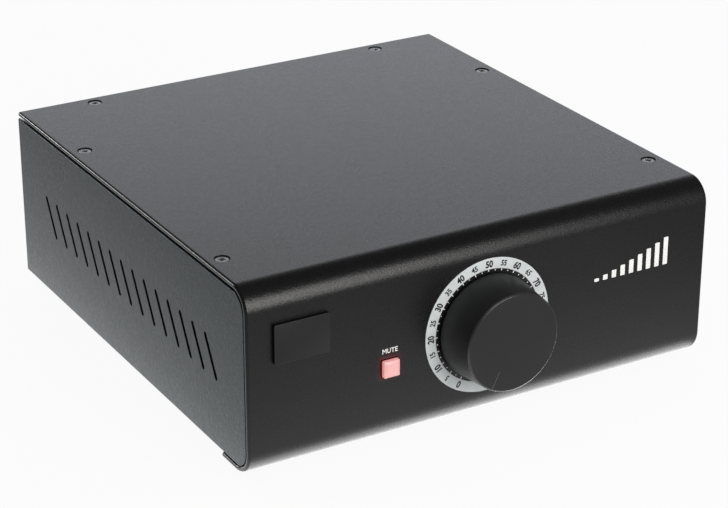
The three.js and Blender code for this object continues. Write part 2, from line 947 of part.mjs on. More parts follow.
// The switch on the front board, with the bore that the rod slides in.
function makeMuteSwitch() {
  const half = switchSize / 2;
  const body = block(
    [buttonX - half, switchFront, buttonZ - half],
    [buttonX + half, frontBoardFront, buttonZ + half],
  );
  const room = plungerSize / 2 + runningGap;
  const z = buttonZ - plungerDrop;
  const bore = block(
    [buttonX - room, switchFront - overrun, z - room],
    [buttonX + room, frontBoardFront - overrun, z + room],
  );
  return cut(body, [bore]);
}

// The lamp that lights the cap from inside.
function makeMuteLamp() {
  const center = [buttonX, 0, buttonZ + lampRise];
  return bar('y', lampRadius, switchFront - lampReach, switchFront, center, smallFacets);
}

// The upright board that carries the mute switch.
function makeFrontBoard() {
  const half = frontBoardWidth / 2;
  const tall = frontBoardHeight / 2;
  const back = frontBoardFront + boardThickness;
  const plate = block(
    [buttonX - half, frontBoardFront, buttonZ - tall],
    [buttonX + half, back, buttonZ + tall],
  );
  const holes = studPlaces().map(([x, z]) => bar(
    'y', studTipRadius + supportTipPlay, frontBoardFront - overrun, back + overrun, [x, 0, z], smallFacets,
  ));
  return cut(plate, holes);
}

// Pieces on the floor

// The four places of the board supports, as X and Y.
function supportPlaces() {
  const places = [];
  for (const x of [boardLeft + supportInset, boardRight - supportInset]) {
    places.push([x, mainBoardFront + supportInset]);
    places.push([x, rearFlangeStart - supportInset]);
  }
  return places;
}

// The board on the floor, with a hole over each support.
function makeMainBoard() {
  const plate = block([boardLeft, mainBoardFront, boardBottom], [boardRight, boardRear, boardTop]);
  const radius = supportTipRadius + supportTipPlay;
  const holes = supportPlaces().map(([x, y]) => bar(
    'z', radius, boardBottom - overrun, boardTop + overrun, [x, y, 0], smallFacets,
  ));
  return cut(plate, holes);
}

// A plastic support whose tip comes up through the board.
function makeBoardSupport([x, y]) {
  const profile = [
    [0, floorTop],
    [supportRadius, floorTop],
    [supportRadius, boardBottom],
    [supportTipRadius, boardBottom],
    [supportTipRadius, boardTop + supportTip],
    [0, boardTop + supportTip],
  ];
  return turned(profile, 'z', [x, y, 0], smallFacets);
}

// A smoothing capacitor that stands on the board.
function makeCapacitor(index) {
  const top = boardTop + capacitorHeight;
  const profile = [
    [0, boardTop],
    [capacitorRadius, boardTop],
    [capacitorRadius, top - capacitorBevel],
    [capacitorRadius - capacitorBevel, top],
    [0, top],
  ];
  const x = boardRight - capacitorInset - index * capacitorPitch;
  return turned(profile, 'z', [x, coreBack, 0], roundFacets);
}

// A multi-pin connector: its shell through the panel, its flange behind it and its body on the board.
function makeConnector(x) {
  const flangeBack = rearInner - connectorFlange;
  const wide = connectorWidth / 2;
  const tall = connectorHeight / 2;
  const flange = block([x - wide, flangeBack, connectorZ - tall], [x + wide, rearInner, connectorZ + tall]);
  const shell = alongY(shellOutline(x, 0), flangeBack, rearReach);
  const half = connectorBodyWidth / 2;
  const body = block(
    [x - half, flangeBack - connectorBodyDepth, boardTop],
    [x + half, flangeBack + connectorFlange / 2, connectorZ + tall],
  );
  const radius = jackShankRadius + jackPlay;
  const holeEnds = [flangeBack - jackShankLength, rearInner + overrun];
  const holes = [-jackPitch / 2, jackPitch / 2].map((side) => bar(
    'y', radius, ...holeEnds, [x + side, 0, connectorZ], smallFacets,
  ));
  return cut(joined(flange, [shell, body]), holes);
}

// A hexagon post beside a connector, with its shank through the panel.
function makeJackScrew(x) {
  const center = [x, 0, connectorZ];
  const post = hexBar(jackFlats, rearOuter, rearOuter + jackLength, center);
  const tip = rearOuter + jackLength / 2;
  return joined(post, [bar('y', jackShankRadius, tip - jackShankLength, tip, center, smallFacets)]);
}

// The X places of the four hexagon posts.
function jackXs() {
  return connectorXs().flatMap((x) => [x - jackPitch / 2, x + jackPitch / 2]);
}

// The outline of the mains socket in X and Z: a rectangle with two corners cut off.
function socketOutline() {
  const wide = socketWidth / 2;
  const tall = socketHeight / 2;
  return outline([
    [sideMiddle - wide, socketZ - tall],
    [sideMiddle + wide, socketZ - tall],
    [sideMiddle + wide, socketZ + tall - socketChamfer],
    [sideMiddle + wide - socketChamfer, socketZ + tall],
    [sideMiddle - wide + socketChamfer, socketZ + tall],
    [sideMiddle - wide, socketZ + tall - socketChamfer],
  ]);
}

// The inlet housing: rocker well, three-blade socket and fuse drawer well behind one rim.
function makeInletHousing() {
  const rimWide = inletWidth / 2 + inletRim;
  const rimTall = inletHeight / 2;
  const bodyTall = rimTall - inletRim;
  const rim = block(
    [sideMiddle - rimWide, rearOuter, inletZ - rimTall],
    [sideMiddle + rimWide, inletFace, inletZ + rimTall],
  );
  const half = inletWidth / 2;
  const body = block(
    [sideMiddle - half, rearOuter - inletDepth, inletZ - bodyTall],
    [sideMiddle + half, rearOuter + inletRimThickness / 2, inletZ + bodyTall],
  );
  const floor = inletFace - socketDepth;
  const socket = alongY(socketOutline(), floor, inletFace + overrun);
  const wellHalf = rockerWidth / 2 + rockerSideGap;
  const wellTall = rockerHalfHeight + rockerEndGap;
  const well = block(
    [sideMiddle - wellHalf, rockerY - rockerRoom, rockerZ - wellTall],
    [sideMiddle + wellHalf, inletFace + overrun, rockerZ + wellTall],
  );
  const stubEnd = rockerWidth / 2 + rockerStubLength + runningGap;
  const pivotPlace = [sideMiddle, rockerY, rockerZ];
  const pivot = bar('x', rockerStubRadius + runningGap, -stubEnd, stubEnd, pivotPlace, smallFacets);
  const drawerHalf = drawerWidth / 2 + drawerPlay;
  const drawerTall = drawerHeight / 2 + drawerPlay;
  const drawerWell = block(
    [sideMiddle - drawerHalf, inletFace - drawerDepth - drawerPlay, drawerZ - drawerTall],
    [sideMiddle + drawerHalf, inletFace + overrun, drawerZ + drawerTall],
  );
  const housing = cut(joined(rim, [body]), [socket, well, pivot, drawerWell]);
  const bladePlaces = [[-bladePitch, -bladeHeight / 2], [0, bladeHeight / 2], [bladePitch, -bladeHeight / 2]];
  const blades = bladePlaces.map(([x, z]) => block(
    [sideMiddle + x - bladeWidth / 2, floor - overrun, socketZ + z - bladeHeight / 2],
    [sideMiddle + x + bladeWidth / 2, floor + bladeLength, socketZ + z + bladeHeight / 2],
  ));
  return joined(housing, blades);
}

// The drawer that holds the fuse, open at the top, with a finger notch in its front.
function makeFuseDrawer() {
  const wide = drawerWidth / 2;
  const tall = drawerHeight / 2;
  const front = inletFace + drawerReach;
  const back = inletFace - drawerDepth;
  const body = block([sideMiddle - wide, back, drawerZ - tall], [sideMiddle + wide, front, drawerZ + tall]);
  const room = fuseLength / 2 + drawerPlay;
  const pocketBack = back + drawerEndWall;
  const pocket = block(
    [sideMiddle - room, pocketBack, drawerZ - tall + drawerFloor],
    [sideMiddle + room, pocketBack + 2 * (fuseRadius + drawerPlay), drawerZ + tall + overrun],
  );
  const grip = block(
    [sideMiddle - gripWidth / 2, front - gripDepth, drawerZ + tall - gripHeight],
    [sideMiddle + gripWidth / 2, front + overrun, drawerZ + tall + overrun],
  );
  return cut(body, [pocket, grip]);
}

// The glass fuse that lies across the drawer.
function makeFuse() {
  const y = inletFace - drawerDepth + drawerEndWall + drawerPlay + fuseRadius;
  const z = drawerZ - drawerHeight / 2 + drawerFloor + fuseRadius;
  return bar('x', fuseRadius, -fuseLength / 2, fuseLength / 2, [sideMiddle, y, z], smallFacets);
}

// The rocker with its two pivot stubs, lying in its lower position.
function makePowerRocker() {
  const shape = outline([
    [rockerEndFront, -rockerHalfHeight],
    [rockerMiddleFront, 0],
    [rockerEndFront, rockerHalfHeight],
    [rockerEndBack, rockerHalfHeight],
    [-rockerKeel, rockerKeelHalf],
    [-rockerKeel, -rockerKeelHalf],
    [rockerEndBack, -rockerHalfHeight],
  ]);
  const half = rockerWidth / 2;
  const body = alongX(shape, -half, half);
  const stubEnd = half + rockerStubLength;
  const stubs = bar('x', rockerStubRadius, -stubEnd, stubEnd, [0, 0, 0], smallFacets);
  const tilted = geometryOf(joined(body, [stubs])).rotateX(-rockerTilt);
  return solidOf(tilted.translate(sideMiddle, rockerY, rockerZ));
}

// The ring core with its winding, as one solid ring with round edges.
function makeTransformer() {
  const soft = coreRounding;
  const ring = new THREE.Path();
  const low = floorTop;
  const high = floorTop + coreHeight;
  ring.absarc(coreOuterRadius - soft, low + soft, soft, -quarter, 0);
  ring.absarc(coreOuterRadius - soft, high - soft, soft, 0, quarter);
  ring.lineTo(coreInnerRadius, high);
  ring.lineTo(coreInnerRadius, low);
  ring.closePath();
  const profile = ring.getPoints(coreFacets).map((point) => [point.x, point.y]);
  return turned(profile, 'z', [sideMiddle, coreBack, 0], roundFacets);
}

// The round plate that clamps the ring core.
function makeClampPlate() {
  const low = floorTop + coreHeight;
  const high = low + clampThickness;
  const inner = clampBoltRadius + clampPlay;
  const profile = [[inner, low], [clampRadius, low], [clampRadius, high], [inner, high], [inner, low]];
  return turned(profile, 'z', [sideMiddle, coreBack, 0], roundFacets);
}

// The bolt through the clamp plate, the ring core and the floor.
function makeClampBolt() {
  const seat = floorTop + coreHeight + clampThickness;
  const profile = [
    [0, trayLow],
    [clampBoltRadius, trayLow],
    [clampBoltRadius, seat],
    [clampHeadRadius, seat],
    [clampHeadRadius, seat + clampHeadThickness],
    [0, seat + clampHeadThickness],
  ];
  return turned(profile, 'z', [sideMiddle, coreBack, 0], smallFacets);
}

// Assembly

// A surface with its colour, roughness and metalness.
function surface(color, roughness, metalness) {
  return new THREE.MeshStandardMaterial({ color, roughness, metalness, flatShading: true });
}

const coat = surface(0x2e2e30, 0.6, 0.2);
const steel = surface(0xa8aaac, 0.35, 0.9);
const dark = surface(0x232325, 0.5, 0.1);
const rubber = surface(0x1b1b1b, 0.9, 0);
const ringFace = surface(0xc6cacc, 0.5, 0.1);
const clearRed = surface(0xf6a3a3, 0.3, 0);
const board = surface(0x1f5a36, 0.5, 0);
const brass = surface(0xb99a55, 0.35, 0.9);
const winding = surface(0x6b3a1c, 0.5, 0.1);
const white = surface(0xe6e4dc, 0.6, 0);
const glass = surface(0xcfd8da, 0.1, 0);
const grey = surface(0x8a8d90, 0.7, 0);

const controller = new THREE.Group();
controller.name = 'studio_monitor_controller';
controller.position.set(0, (knobReach - rearReach) / 2, 0);

// One named mesh of the assembly.
function place(name, solid, material) {
  const mesh = new THREE.Mesh(geometryOf(solid), material.clone());
  mesh.name = name;
  controller.add(mesh);
}

// One named mesh for each place, numbered from one.
function placeEach(name, places, make, material) {
  places.forEach((spot, i) => place(`${name}_${i + 1}`, make(spot), material));
}

place('chassis_tray', makeChassisTray(), coat);
place('wrap_cover', makeWrapCover(), coat);
place('rear_panel', makeRearPanel(), coat);
place('badge_plate', makeBadgePlate(), dark);
place('dial_ring', makeDialRing(), ringFace);
placeEach('cover_screw', coverScrewPlaces(), makeCoverScrew, dark);
placeEach('rubber_foot', footPlaces(), makeRubberFoot, rubber);
place('volume_knob', makeVolumeKnob(), dark);
place('knob_grub_screw', makeGrubScrew(), steel);
place('pot_shaft', makePotShaft(), steel);
place('pot_bushing', makePotBushing(), brass);
place('pot_washer', makePotWasher(), steel);
place('pot_nut', makePotNut(), brass);
placeEach('pot_deck', [...Array(deckCount).keys()], makePotDeck, dark);
place('pot_rear_plate', makePotRearPlate(), steel);
placeEach('pot_tie_bolt', tiePlaces(), makeTieBolt, steel);
place('volume_board', makeVolumeBoard(), board);
place('volume_ribbon', makeVolumeRibbon(), grey);
place('mute_cap', makeMuteCap(), clearRed);
place('mute_plunger', makeMutePlunger(), white);
place('mute_switch', makeMuteSwitch(), dark);
place('mute_lamp', makeMuteLamp(), clearRed);
place('front_board', makeFrontBoard(), board);
place('main_board', makeMainBoard(), board);
placeEach('board_support', supportPlaces(), makeBoardSupport, white);
placeEach('filter_capacitor', [...Array(capacitorCount).keys()], makeCapacitor, dark);
place('input_connector', makeConnector(connectorXs()[0]), steel);
place('output_connector', makeConnector(connectorXs()[1]), steel);
placeEach('jack_screw', jackXs(), makeJackScrew, steel);
place('inlet_housing', makeInletHousing(), dark);
place('fuse_drawer', makeFuseDrawer(), dark);
place('fuse', makeFuse(), glass);
place('power_rocker', makePowerRocker(), dark);
place('power_transformer', makeTransformer(), winding);
place('clamp_plate', makeClampPlate(), steel);
place('clamp_bolt', makeClampBolt(), steel);

export default controller;
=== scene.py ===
import math
import bmesh
import bpy
import numpy as np
from mathutils import Matrix, Vector


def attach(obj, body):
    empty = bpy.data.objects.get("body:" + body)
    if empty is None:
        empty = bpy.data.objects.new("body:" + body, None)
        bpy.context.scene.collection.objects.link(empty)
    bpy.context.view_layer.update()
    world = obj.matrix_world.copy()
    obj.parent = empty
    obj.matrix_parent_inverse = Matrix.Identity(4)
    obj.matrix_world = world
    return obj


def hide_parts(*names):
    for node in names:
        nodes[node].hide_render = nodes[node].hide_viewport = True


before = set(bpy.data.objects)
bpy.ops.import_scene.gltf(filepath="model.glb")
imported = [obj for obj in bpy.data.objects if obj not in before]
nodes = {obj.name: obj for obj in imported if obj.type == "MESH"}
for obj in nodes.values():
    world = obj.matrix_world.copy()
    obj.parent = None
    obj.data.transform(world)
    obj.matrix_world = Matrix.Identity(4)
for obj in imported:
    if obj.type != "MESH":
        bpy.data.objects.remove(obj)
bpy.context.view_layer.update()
scene = bpy.context.scene
print("frame loaded:", len(nodes), "nodes")

# Sizes are in millimetres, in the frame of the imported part, unless a comment says otherwise.
milli = 0.001
panelY = -99.9      # the front face of the case
rearY = 113.7       # the rear end of the cover and of the side walls
rearOuter = 112.7   # the outer face of the rear panel
topZ = 82.4
floorZ = 7.0        # the underside of the tray
halfWidth = 105.0
axisZ = 44.1        # height of the knob's axis
buttonX, buttonZ = -44.25, 37.2
ringThickness = 0.4
printLift = 0.02    # how far the middle of a print stands off its face
printHalf = 0.03    # half the thickness of a print
sharpAngle = 35.0   # edges sharper than this, in degrees, keep their crease


# Mesh tools

def ringFaces(rings, count, wrapRings=False):
    # Quads between closed rings: point (i, j) is joined to (i+1, j), (i+1, j+1) and (i, j+1).
    i = np.arange(rings if wrapRings else rings - 1)[:, None]
    j = np.arange(count)[None, :]
    nextI, nextJ = (i + 1) % rings, (j + 1) % count
    corners = [i * count + j, i * count + nextJ, nextI * count + nextJ, nextI * count + j]
    return np.stack([np.broadcast_to(c, (i.size, j.size)) for c in corners], -1).reshape(-1, 4).tolist()


def softCorners(corners, radii, steps=6, guard=0.0):
    # A closed outline whose corners become arcs that touch both of their sides.
    # Centre = corner + bisector * radius / sin(half angle); the arc turns evenly from one foot to the other.
    # A guard point before and after each arc keeps the shading of the flats flat: at most a third of the flat away.
    corner = np.asarray(corners, float)
    radius = np.broadcast_to(np.asarray(radii, float), len(corner))[:, None]
    before = np.roll(corner, 1, 0) - corner
    after = np.roll(corner, -1, 0) - corner
    side = np.linalg.norm(after, axis=1, keepdims=True)
    before /= np.linalg.norm(before, axis=1, keepdims=True)
    after /= side
    half = np.arccos(np.clip((before * after).sum(1, keepdims=True), -1, 1)) / 2
    reach = radius / np.tan(half)
    bisector = before + after
    bisector /= np.linalg.norm(bisector, axis=1, keepdims=True)
    centre = corner + bisector * radius / np.sin(half)
    start, end = corner + before * reach, corner + after * reach
    turn = (math.pi - 2 * half)[:, None]
    t = np.linspace(0, 1, steps)[None, :, None]
    first, last = (start - centre)[:, None], (end - centre)[:, None]
    arc = (np.sin((1 - t) * turn) * first + np.sin(t * turn) * last) / np.sin(turn) + centre[:, None]
    if guard:
        ahead = np.clip((side - reach - np.roll(reach, -1, 0)) / 3, 0, guard)
        ends = (start + before * np.roll(ahead, 1, 0))[:, None], (end + after * ahead)[:, None]
        arc = np.concatenate([ends[0], arc, ends[1]], 1)
    return arc.reshape(-1, 2)


def splitLong(loop, longest):
    # A folded section whose point i faces point n-1-i across the sheet: a segment longer than the limit is split
    # evenly, and the one across it into as many parts, so the two sides keep their pairs.
    length = np.linalg.norm(np.roll(loop, -1, 0) - loop, axis=1)
    across = len(loop) - 2 - np.arange(len(loop))
    parts = np.maximum(1, np.ceil(np.maximum(length, length[across]) / longest)).astype(int)
    parts[[len(loop) // 2 - 1, -1]] = 1
    index = np.repeat(np.arange(len(loop)), parts)
    step = np.arange(parts.sum()) - np.repeat(np.cumsum(parts) - parts, parts)
    share = (step / parts[index])[:, None]
    return loop[index] * (1 - share) + np.roll(loop, -1, 0)[index] * share


def outwardNormals(loop):
    # The outward unit normal at each point of a closed outline, square to the line between its neighbours.
    along = np.roll(loop, -1, 0) - np.roll(loop, 1, 0)
    normal = np.stack([along[:, 1], -along[:, 0]], 1)
    normal /= np.linalg.norm(normal, axis=1, keepdims=True) + 1e-12
    area = (loop[:, 0] * np.roll(loop[:, 1], -1) - np.roll(loop[:, 0], -1) * loop[:, 1]).sum()
    return normal if area > 0 else -normal


def edgeSteps(radius, steps, guard):
    # How a round edge runs in from an end: (distance from the end, inset) = r * (1 - cos a, 1 - sin a).
    a = np.linspace(0, math.pi / 2, steps)
    distance = np.append(radius * (1 - np.cos(a)), radius + guard)
    inset = np.append(radius * (1 - np.sin(a)), 0.0)
    return distance, inset


def loftedShape(loops, pairedCaps=False):
    # Rings of equal length joined into a skin. A cap is one flat face, or quads between point i and point n-1-i.
    rings, count = len(loops), loops[0].shape[0]
    faces = ringFaces(rings, count)
    for base, order in ((0, -1), ((rings - 1) * count, 1)):
        if pairedCaps:
            i = np.arange(count // 2 - 1)
            quads = np.stack([i, i + 1, count - 2 - i, count - 1 - i], 1) + base
            faces += quads[:, ::order].tolist()
        else:
            faces.append((base + np.arange(count))[::order].tolist())
    return np.concatenate(loops), faces


def placed(outline, axis, place):
    # A flat outline as points in space: the place goes in as their part along one axis (0, 1 or 2 for X, Y or Z).
    return np.insert(outline, axis, place, axis=1)


def prism(outline, axis, low, high):
    # An outline carried from one place along an axis to another.
    return loftedShape([placed(outline, axis, place) for place in (low, high)])


def softPrism(outline, axis, low, high, edge, steps, guard=0.2, pairedCaps=False):
    # A prism with round edges at both ends: the outline moves in by the inset of each step.
    normal = outwardNormals(outline)
    distance, inset = edgeSteps(edge, steps, guard)
    places = np.concatenate([low + distance, (high - distance)[::-1]])
    pairs = zip(places, [*inset, *inset[::-1]])
    return loftedShape([placed(outline - normal * shrink, axis, place) for place, shrink in pairs], pairedCaps)


def turnedShape(profile, segments, axis, centre):
    # A profile of (radius, place along the axis) turned round: the other two parts are r cos a and r sin a.
    # A profile that starts and ends on the axis needs no faces between its last and first point.
    profile = np.asarray(profile, float)
    wrap = profile[0, 0] > 0 or profile[-1, 0] > 0
    a = np.arange(segments) * 2 * math.pi / segments
    flat = profile[:, None, 0, None] * np.stack([np.cos(a), np.sin(a)], 1)[None]
    along = np.broadcast_to(profile[:, None, 1], flat.shape[:2])
    parts = [flat[..., 0], flat[..., 1]]
    parts.insert("xyz".index(axis), along)
    points = np.stack(parts, -1).reshape(-1, 3) + np.asarray(centre, float)
    return points, ringFaces(len(profile), segments, wrapRings=wrap)


def turnedSolid(corners, radii, segments, axis, centre):
    # A closed profile with soft corners, turned. A profile that starts and ends on the axis has one pole at each end.
    onAxis, poleRoom, steps = 1e-6, 0.03, 5
    corners = np.asarray(corners, float)
    radii = np.where(corners[:, 0] < onAxis, 1e-4, np.broadcast_to(radii, len(corners)))
    loop = softCorners(corners, radii, steps, guard=0.02)
    if corners[0, 0] == 0:
        loop = np.concatenate([corners[:1], loop[loop[:, 0] > poleRoom], corners[-1:]])
    return turnedShape(loop, segments, axis, centre)


def roundedBox(centreX, centreZ, width, height, radius, steps=6, guard=0.0):
    x, z = width / 2, height / 2
    signs = ((-1, -1), (1, -1), (1, 1), (-1, 1))
    return softCorners([(centreX + sx * x, centreZ + sz * z) for sx, sz in signs], radius, steps, guard)


def joinShapes(shapes):
    # Several shapes as one list of points and faces.
    points, faces, start = [], [], 0
    for somePoints, someFaces in shapes:
        points.append(somePoints)
        faces += [[start + corner for corner in face] for face in someFaces]
        start += len(somePoints)
    return np.concatenate(points), faces


def shade(mesh, sharp=sharpAngle):
    mesh.shade_smooth()
    mesh.set_sharp_from_angle(angle=math.radians(sharp))


def putObject(name, data):
    piece = bpy.data.objects.new(name, data)
    scene.collection.objects.link(piece)
    return piece


def putMesh(name, shape, finishName=None, sharp=sharpAngle):
    # A mesh object with its place in its mesh, doubles merged and its faces turned outwards.
    points, faces = shape
    mesh = bpy.data.meshes.new(name)
    mesh.from_pydata((np.asarray(points) * milli).tolist(), [], faces)
    work = bmesh.new()
    work.from_mesh(mesh)
    bmesh.ops.remove_doubles(work, verts=work.verts, dist=2e-7)
    bmesh.ops.dissolve_degenerate(work, edges=work.edges, dist=1e-8)
    bmesh.ops.recalc_face_normals(work, faces=work.faces)
    if work.calc_volume(signed=True) < 0:
        bmesh.ops.reverse_faces(work, faces=work.faces)
    work.to_mesh(mesh)
    work.free()
    shade(mesh, sharp)
    if finishName:
        mesh.materials.append(made[finishName])
    return putObject(name, mesh)


def meshNow(piece):
    # The mesh of an object as its modifiers leave it.
    bpy.context.view_layer.update()
    return bpy.data.meshes.new_from_object(piece.evaluated_get(bpy.context.evaluated_depsgraph_get()))


def carve(piece, shapes, sharp=sharpAngle, finishName=None, solver="EXACT"):
    # Cuts closed shapes out of a piece and keeps the result as its mesh. The cut faces may have a finish of their own.
    cutter = putMesh(piece.name + "_cutter", joinShapes(shapes), finishName)
    cut = piece.modifiers.new("cut", "BOOLEAN")
    cut.operation, cut.solver, cut.object = "DIFFERENCE", solver, cutter
    if finishName:
        cut.material_mode = "TRANSFER"
    finished = meshNow(piece)
    piece.modifiers.clear()
    piece.data = finished
    bpy.data.objects.remove(cutter)
    shade(finished, sharp)


def fit(piece, body, replaced=None):
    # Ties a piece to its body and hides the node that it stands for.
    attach(piece, body)
    if replaced:
        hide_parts(replaced)


def setFinish(mesh, finishName):
    mesh.materials.clear()
    mesh.materials.append(made[finishName])


def softenedCopy(nodeName, width, finishName):
    # A copy of a node with its doubles merged and its edges rounded by a bevel.
    mesh = nodes[nodeName].data.copy()
    mesh.name = nodeName + "_look"
    work = bmesh.new()
    work.from_mesh(mesh)
    bmesh.ops.remove_doubles(work, verts=work.verts, dist=2e-6)
    bmesh.ops.dissolve_limit(work, angle_limit=math.radians(1), verts=work.verts, edges=work.edges)
    bmesh.ops.recalc_face_normals(work, faces=work.faces)
    work.to_mesh(mesh)
    work.free()
    setFinish(mesh, finishName)
    shade(mesh)
    piece = putObject(nodeName + "_look", mesh)
    bevel = piece.modifiers.new("edges", "BEVEL")
    bevel.width, bevel.segments, bevel.limit_method = width * milli, 2, "ANGLE"
    bevel.angle_limit = math.radians(sharpAngle)
    bevel.harden_normals = True
    return piece


def readRows(items, kind):
    # The places, normals or middles of all items of a mesh, one row of three each.
    values = np.empty(len(items) * 3)
    items.foreach_get(kind, values)
    return values.reshape(-1, 3)


def secondFinish(piece, finishName, chosen):
    # Gives the chosen faces of a piece another finish.
    piece.data.materials.append(made[finishName])
    piece.data.polygons.foreach_set("material_index", chosen.astype(np.int32))


# Material tools

def feed(tree, sockets, values):
    # Each socket is set to its value, or linked when the value is another node's output.
    for key, value in values.items():
        if isinstance(value, bpy.types.NodeSocket):
            tree.links.new(value, sockets[key])
        else:
            sockets[key].default_value = value


def addNode(tree, kind, values, **settings):
    # A node with its settings. Its values are named, or come in the order of its sockets.
    node = tree.nodes.new("ShaderNode" + kind)
    for name, value in settings.items():
        setattr(node, name, value)
    feed(tree, node.inputs, values if isinstance(values, dict) else dict(enumerate(values)))
    return node


def maths(tree, operation, *values):
    return addNode(tree, "Math", values, operation=operation).outputs[0]


def remap(tree, value, ends, results=(0.0, 1.0), curve="LINEAR"):
    # A value carried from one range to another, held within it.
    return addNode(tree, "MapRange", (value, *ends, *results), interpolation_type=curve).outputs["Result"]


def blend(tree, share, first, second):
    return addNode(tree, "Mix", {"Factor": share, "A": first, "B": second}).outputs["Result"]


def blendColours(tree, share, first, second):
    # The sockets 0, 6 and 7 and the output 2 are those for colours.
    return addNode(tree, "Mix", {0: share, 6: first, 7: second}, data_type="RGBA").outputs[2]


def noise(tree, place, scale, detail):
    return addNode(tree, "TexNoise", {"Vector": place, "Scale": scale, "Detail": detail}).outputs["Fac"]


def partAlong(tree, place, axis):
    return addNode(tree, "SeparateXYZ", [place]).outputs[axis]


def distanceFromBox(tree, place, middle, half):
    # The length of (|place - middle| - half), each of its parts at least 0.
    for operation, *values in (("SUBTRACT", middle), ["ABSOLUTE"], ("SUBTRACT", half), ("MAXIMUM", (0, 0, 0))):
        place = addNode(tree, "VectorMath", (place, *values), operation=operation).outputs[0]
    return addNode(tree, "VectorMath", [place], operation="LENGTH").outputs["Value"]


def newGroup(name, given, result):
    # A node group with its sockets, each a name and a kind.
    group = bpy.data.node_groups.new(name, "ShaderNodeTree")
    for inOut, sockets in (("INPUT", given), ("OUTPUT", result)):
        for socketName, kind in sockets.items():
            group.interface.new_socket(socketName, in_out=inOut, socket_type="NodeSocket" + kind)
    return group, group.nodes.new("NodeGroupInput").outputs, group.nodes.new("NodeGroupOutput").inputs


def makeGrainGroup():
    # Fine grain: two noises of different size, mixed, as a height and as a mask.
    given = {"Vector": "Vector", "Scale": "Float", "Coarse": "Float"}
    group, given, result = newGroup("fineGrain", given, {"Height": "Float", "Mask": "Float"})
    coarseShare = 0.31
    fine = noise(group, given["Vector"], given["Scale"], 2.0)
    coarse = noise(group, given["Vector"], maths(group, "MULTIPLY", given["Scale"], coarseShare), 1.0)
    height = blend(group, given["Coarse"], fine, coarse)
    feed(group, result, {"Height": height, "Mask": remap(group, height, (0.35, 0.65))})
    return group


def makeDriftGroup():
    # Slow colour change over a surface: one wide noise that goes between two colours.
    given = {"Vector": "Vector", "Scale": "Float", "ColourA": "Color", "ColourB": "Color"}
    group, given, result = newGroup("colourDrift", given, {"Colour": "Color"})
    share = remap(group, noise(group, given["Vector"], given["Scale"], 3.0), (0.3, 0.7))
    feed(group, result, {"Colour": blendColours(group, share, given["ColourA"], given["ColourB"])})
    return group


grainGroup = makeGrainGroup()
driftGroup = makeDriftGroup()


def haloColour(tree, place, halo):
    # A painted glow of the light that leaks round a lit button: an emitted colour on the panel that fades with the
    # distance from the button's outline and shows only near the panel's face.
    half, reach = halo["half"] * milli, halo["reach"] * milli
    away = distanceFromBox(tree, place, (buttonX * milli, 0, buttonZ * milli), (half, 1, half))
    fade = remap(tree, away, (-reach, reach), (2.0, 0.0), "SMOOTHERSTEP")
    front = maths(tree, "LESS_THAN", partAlong(tree, place, "Y"), (panelY + halo["depth"]) * milli)
    values = {0: halo["colour"], "Scale": maths(tree, "MULTIPLY", fade, front)}
    return addNode(tree, "VectorMath", values, operation="SCALE").outputs[0]


def makeFinish(name, look):
    # A finish from its table: two colours that drift, grain as bump and as roughness.
    material = bpy.data.materials.new(name)
    material.use_nodes = True
    tree = material.node_tree
    place = tree.nodes.new("ShaderNodeTexCoord").outputs["Object"]
    colours = {"ColourA": (*look["colourA"], 1), "ColourB": (*look["colourB"], 1)}
    drift = addNode(tree, "Group", {"Vector": place, "Scale": look["driftScale"], **colours}, node_tree=driftGroup)
    stretched = place
    if "stretch" in look:
        stretched = addNode(tree, "Mapping", {"Vector": place, "Scale": look["stretch"]}).outputs["Vector"]
    values = {"Vector": stretched, "Scale": look["grainScale"], "Coarse": look.get("coarse", 0.35)}
    grain = addNode(tree, "Group", values, node_tree=grainGroup)
    height = grain.outputs["Height"]
    rough = remap(tree, grain.outputs["Mask"], (0, 1), look["rough"])
    if "thinEdge" in look:
        # The coat is smooth over the two cut edges: far from the middle in X its roughness and grain fade.
        edge = look["thinEdge"]
        away = maths(tree, "ABSOLUTE", partAlong(tree, place, "X"))
        mask = remap(tree, away, (edge["start"] * milli, edge["full"] * milli))
        rough, height = blend(tree, mask, rough, edge["rough"]), blend(tree, mask, height, 0.5)
    bump = addNode(tree, "Bump", {"Strength": 1.0, "Distance": look["grainDepth"] * milli, "Height": height})
    surface = {"Base Color": drift.outputs["Colour"], "Roughness": rough, "Normal": bump.outputs["Normal"]}
    surface |= look.get("shader", {})
    if "halo" in look:
        surface |= {"Emission Color": haloColour(tree, place, look["halo"]), "Emission Strength": 1.0}
    if "paintedShadeFoot" in look:
        # Painted shade where the lit cap enters the panel: along Y its glow and its own colour go to a dark one.
        foot = look["paintedShadeFoot"]
        mask = remap(tree, partAlong(tree, place, "Y"), (foot["start"] * milli, foot["full"] * milli))
        for socket in ("Base Color", "Emission Color"):
            surface[socket] = blendColours(tree, mask, surface[socket], (*foot["colour"], 1))
    feed(tree, tree.nodes["Principled BSDF"].inputs, surface)
    return material


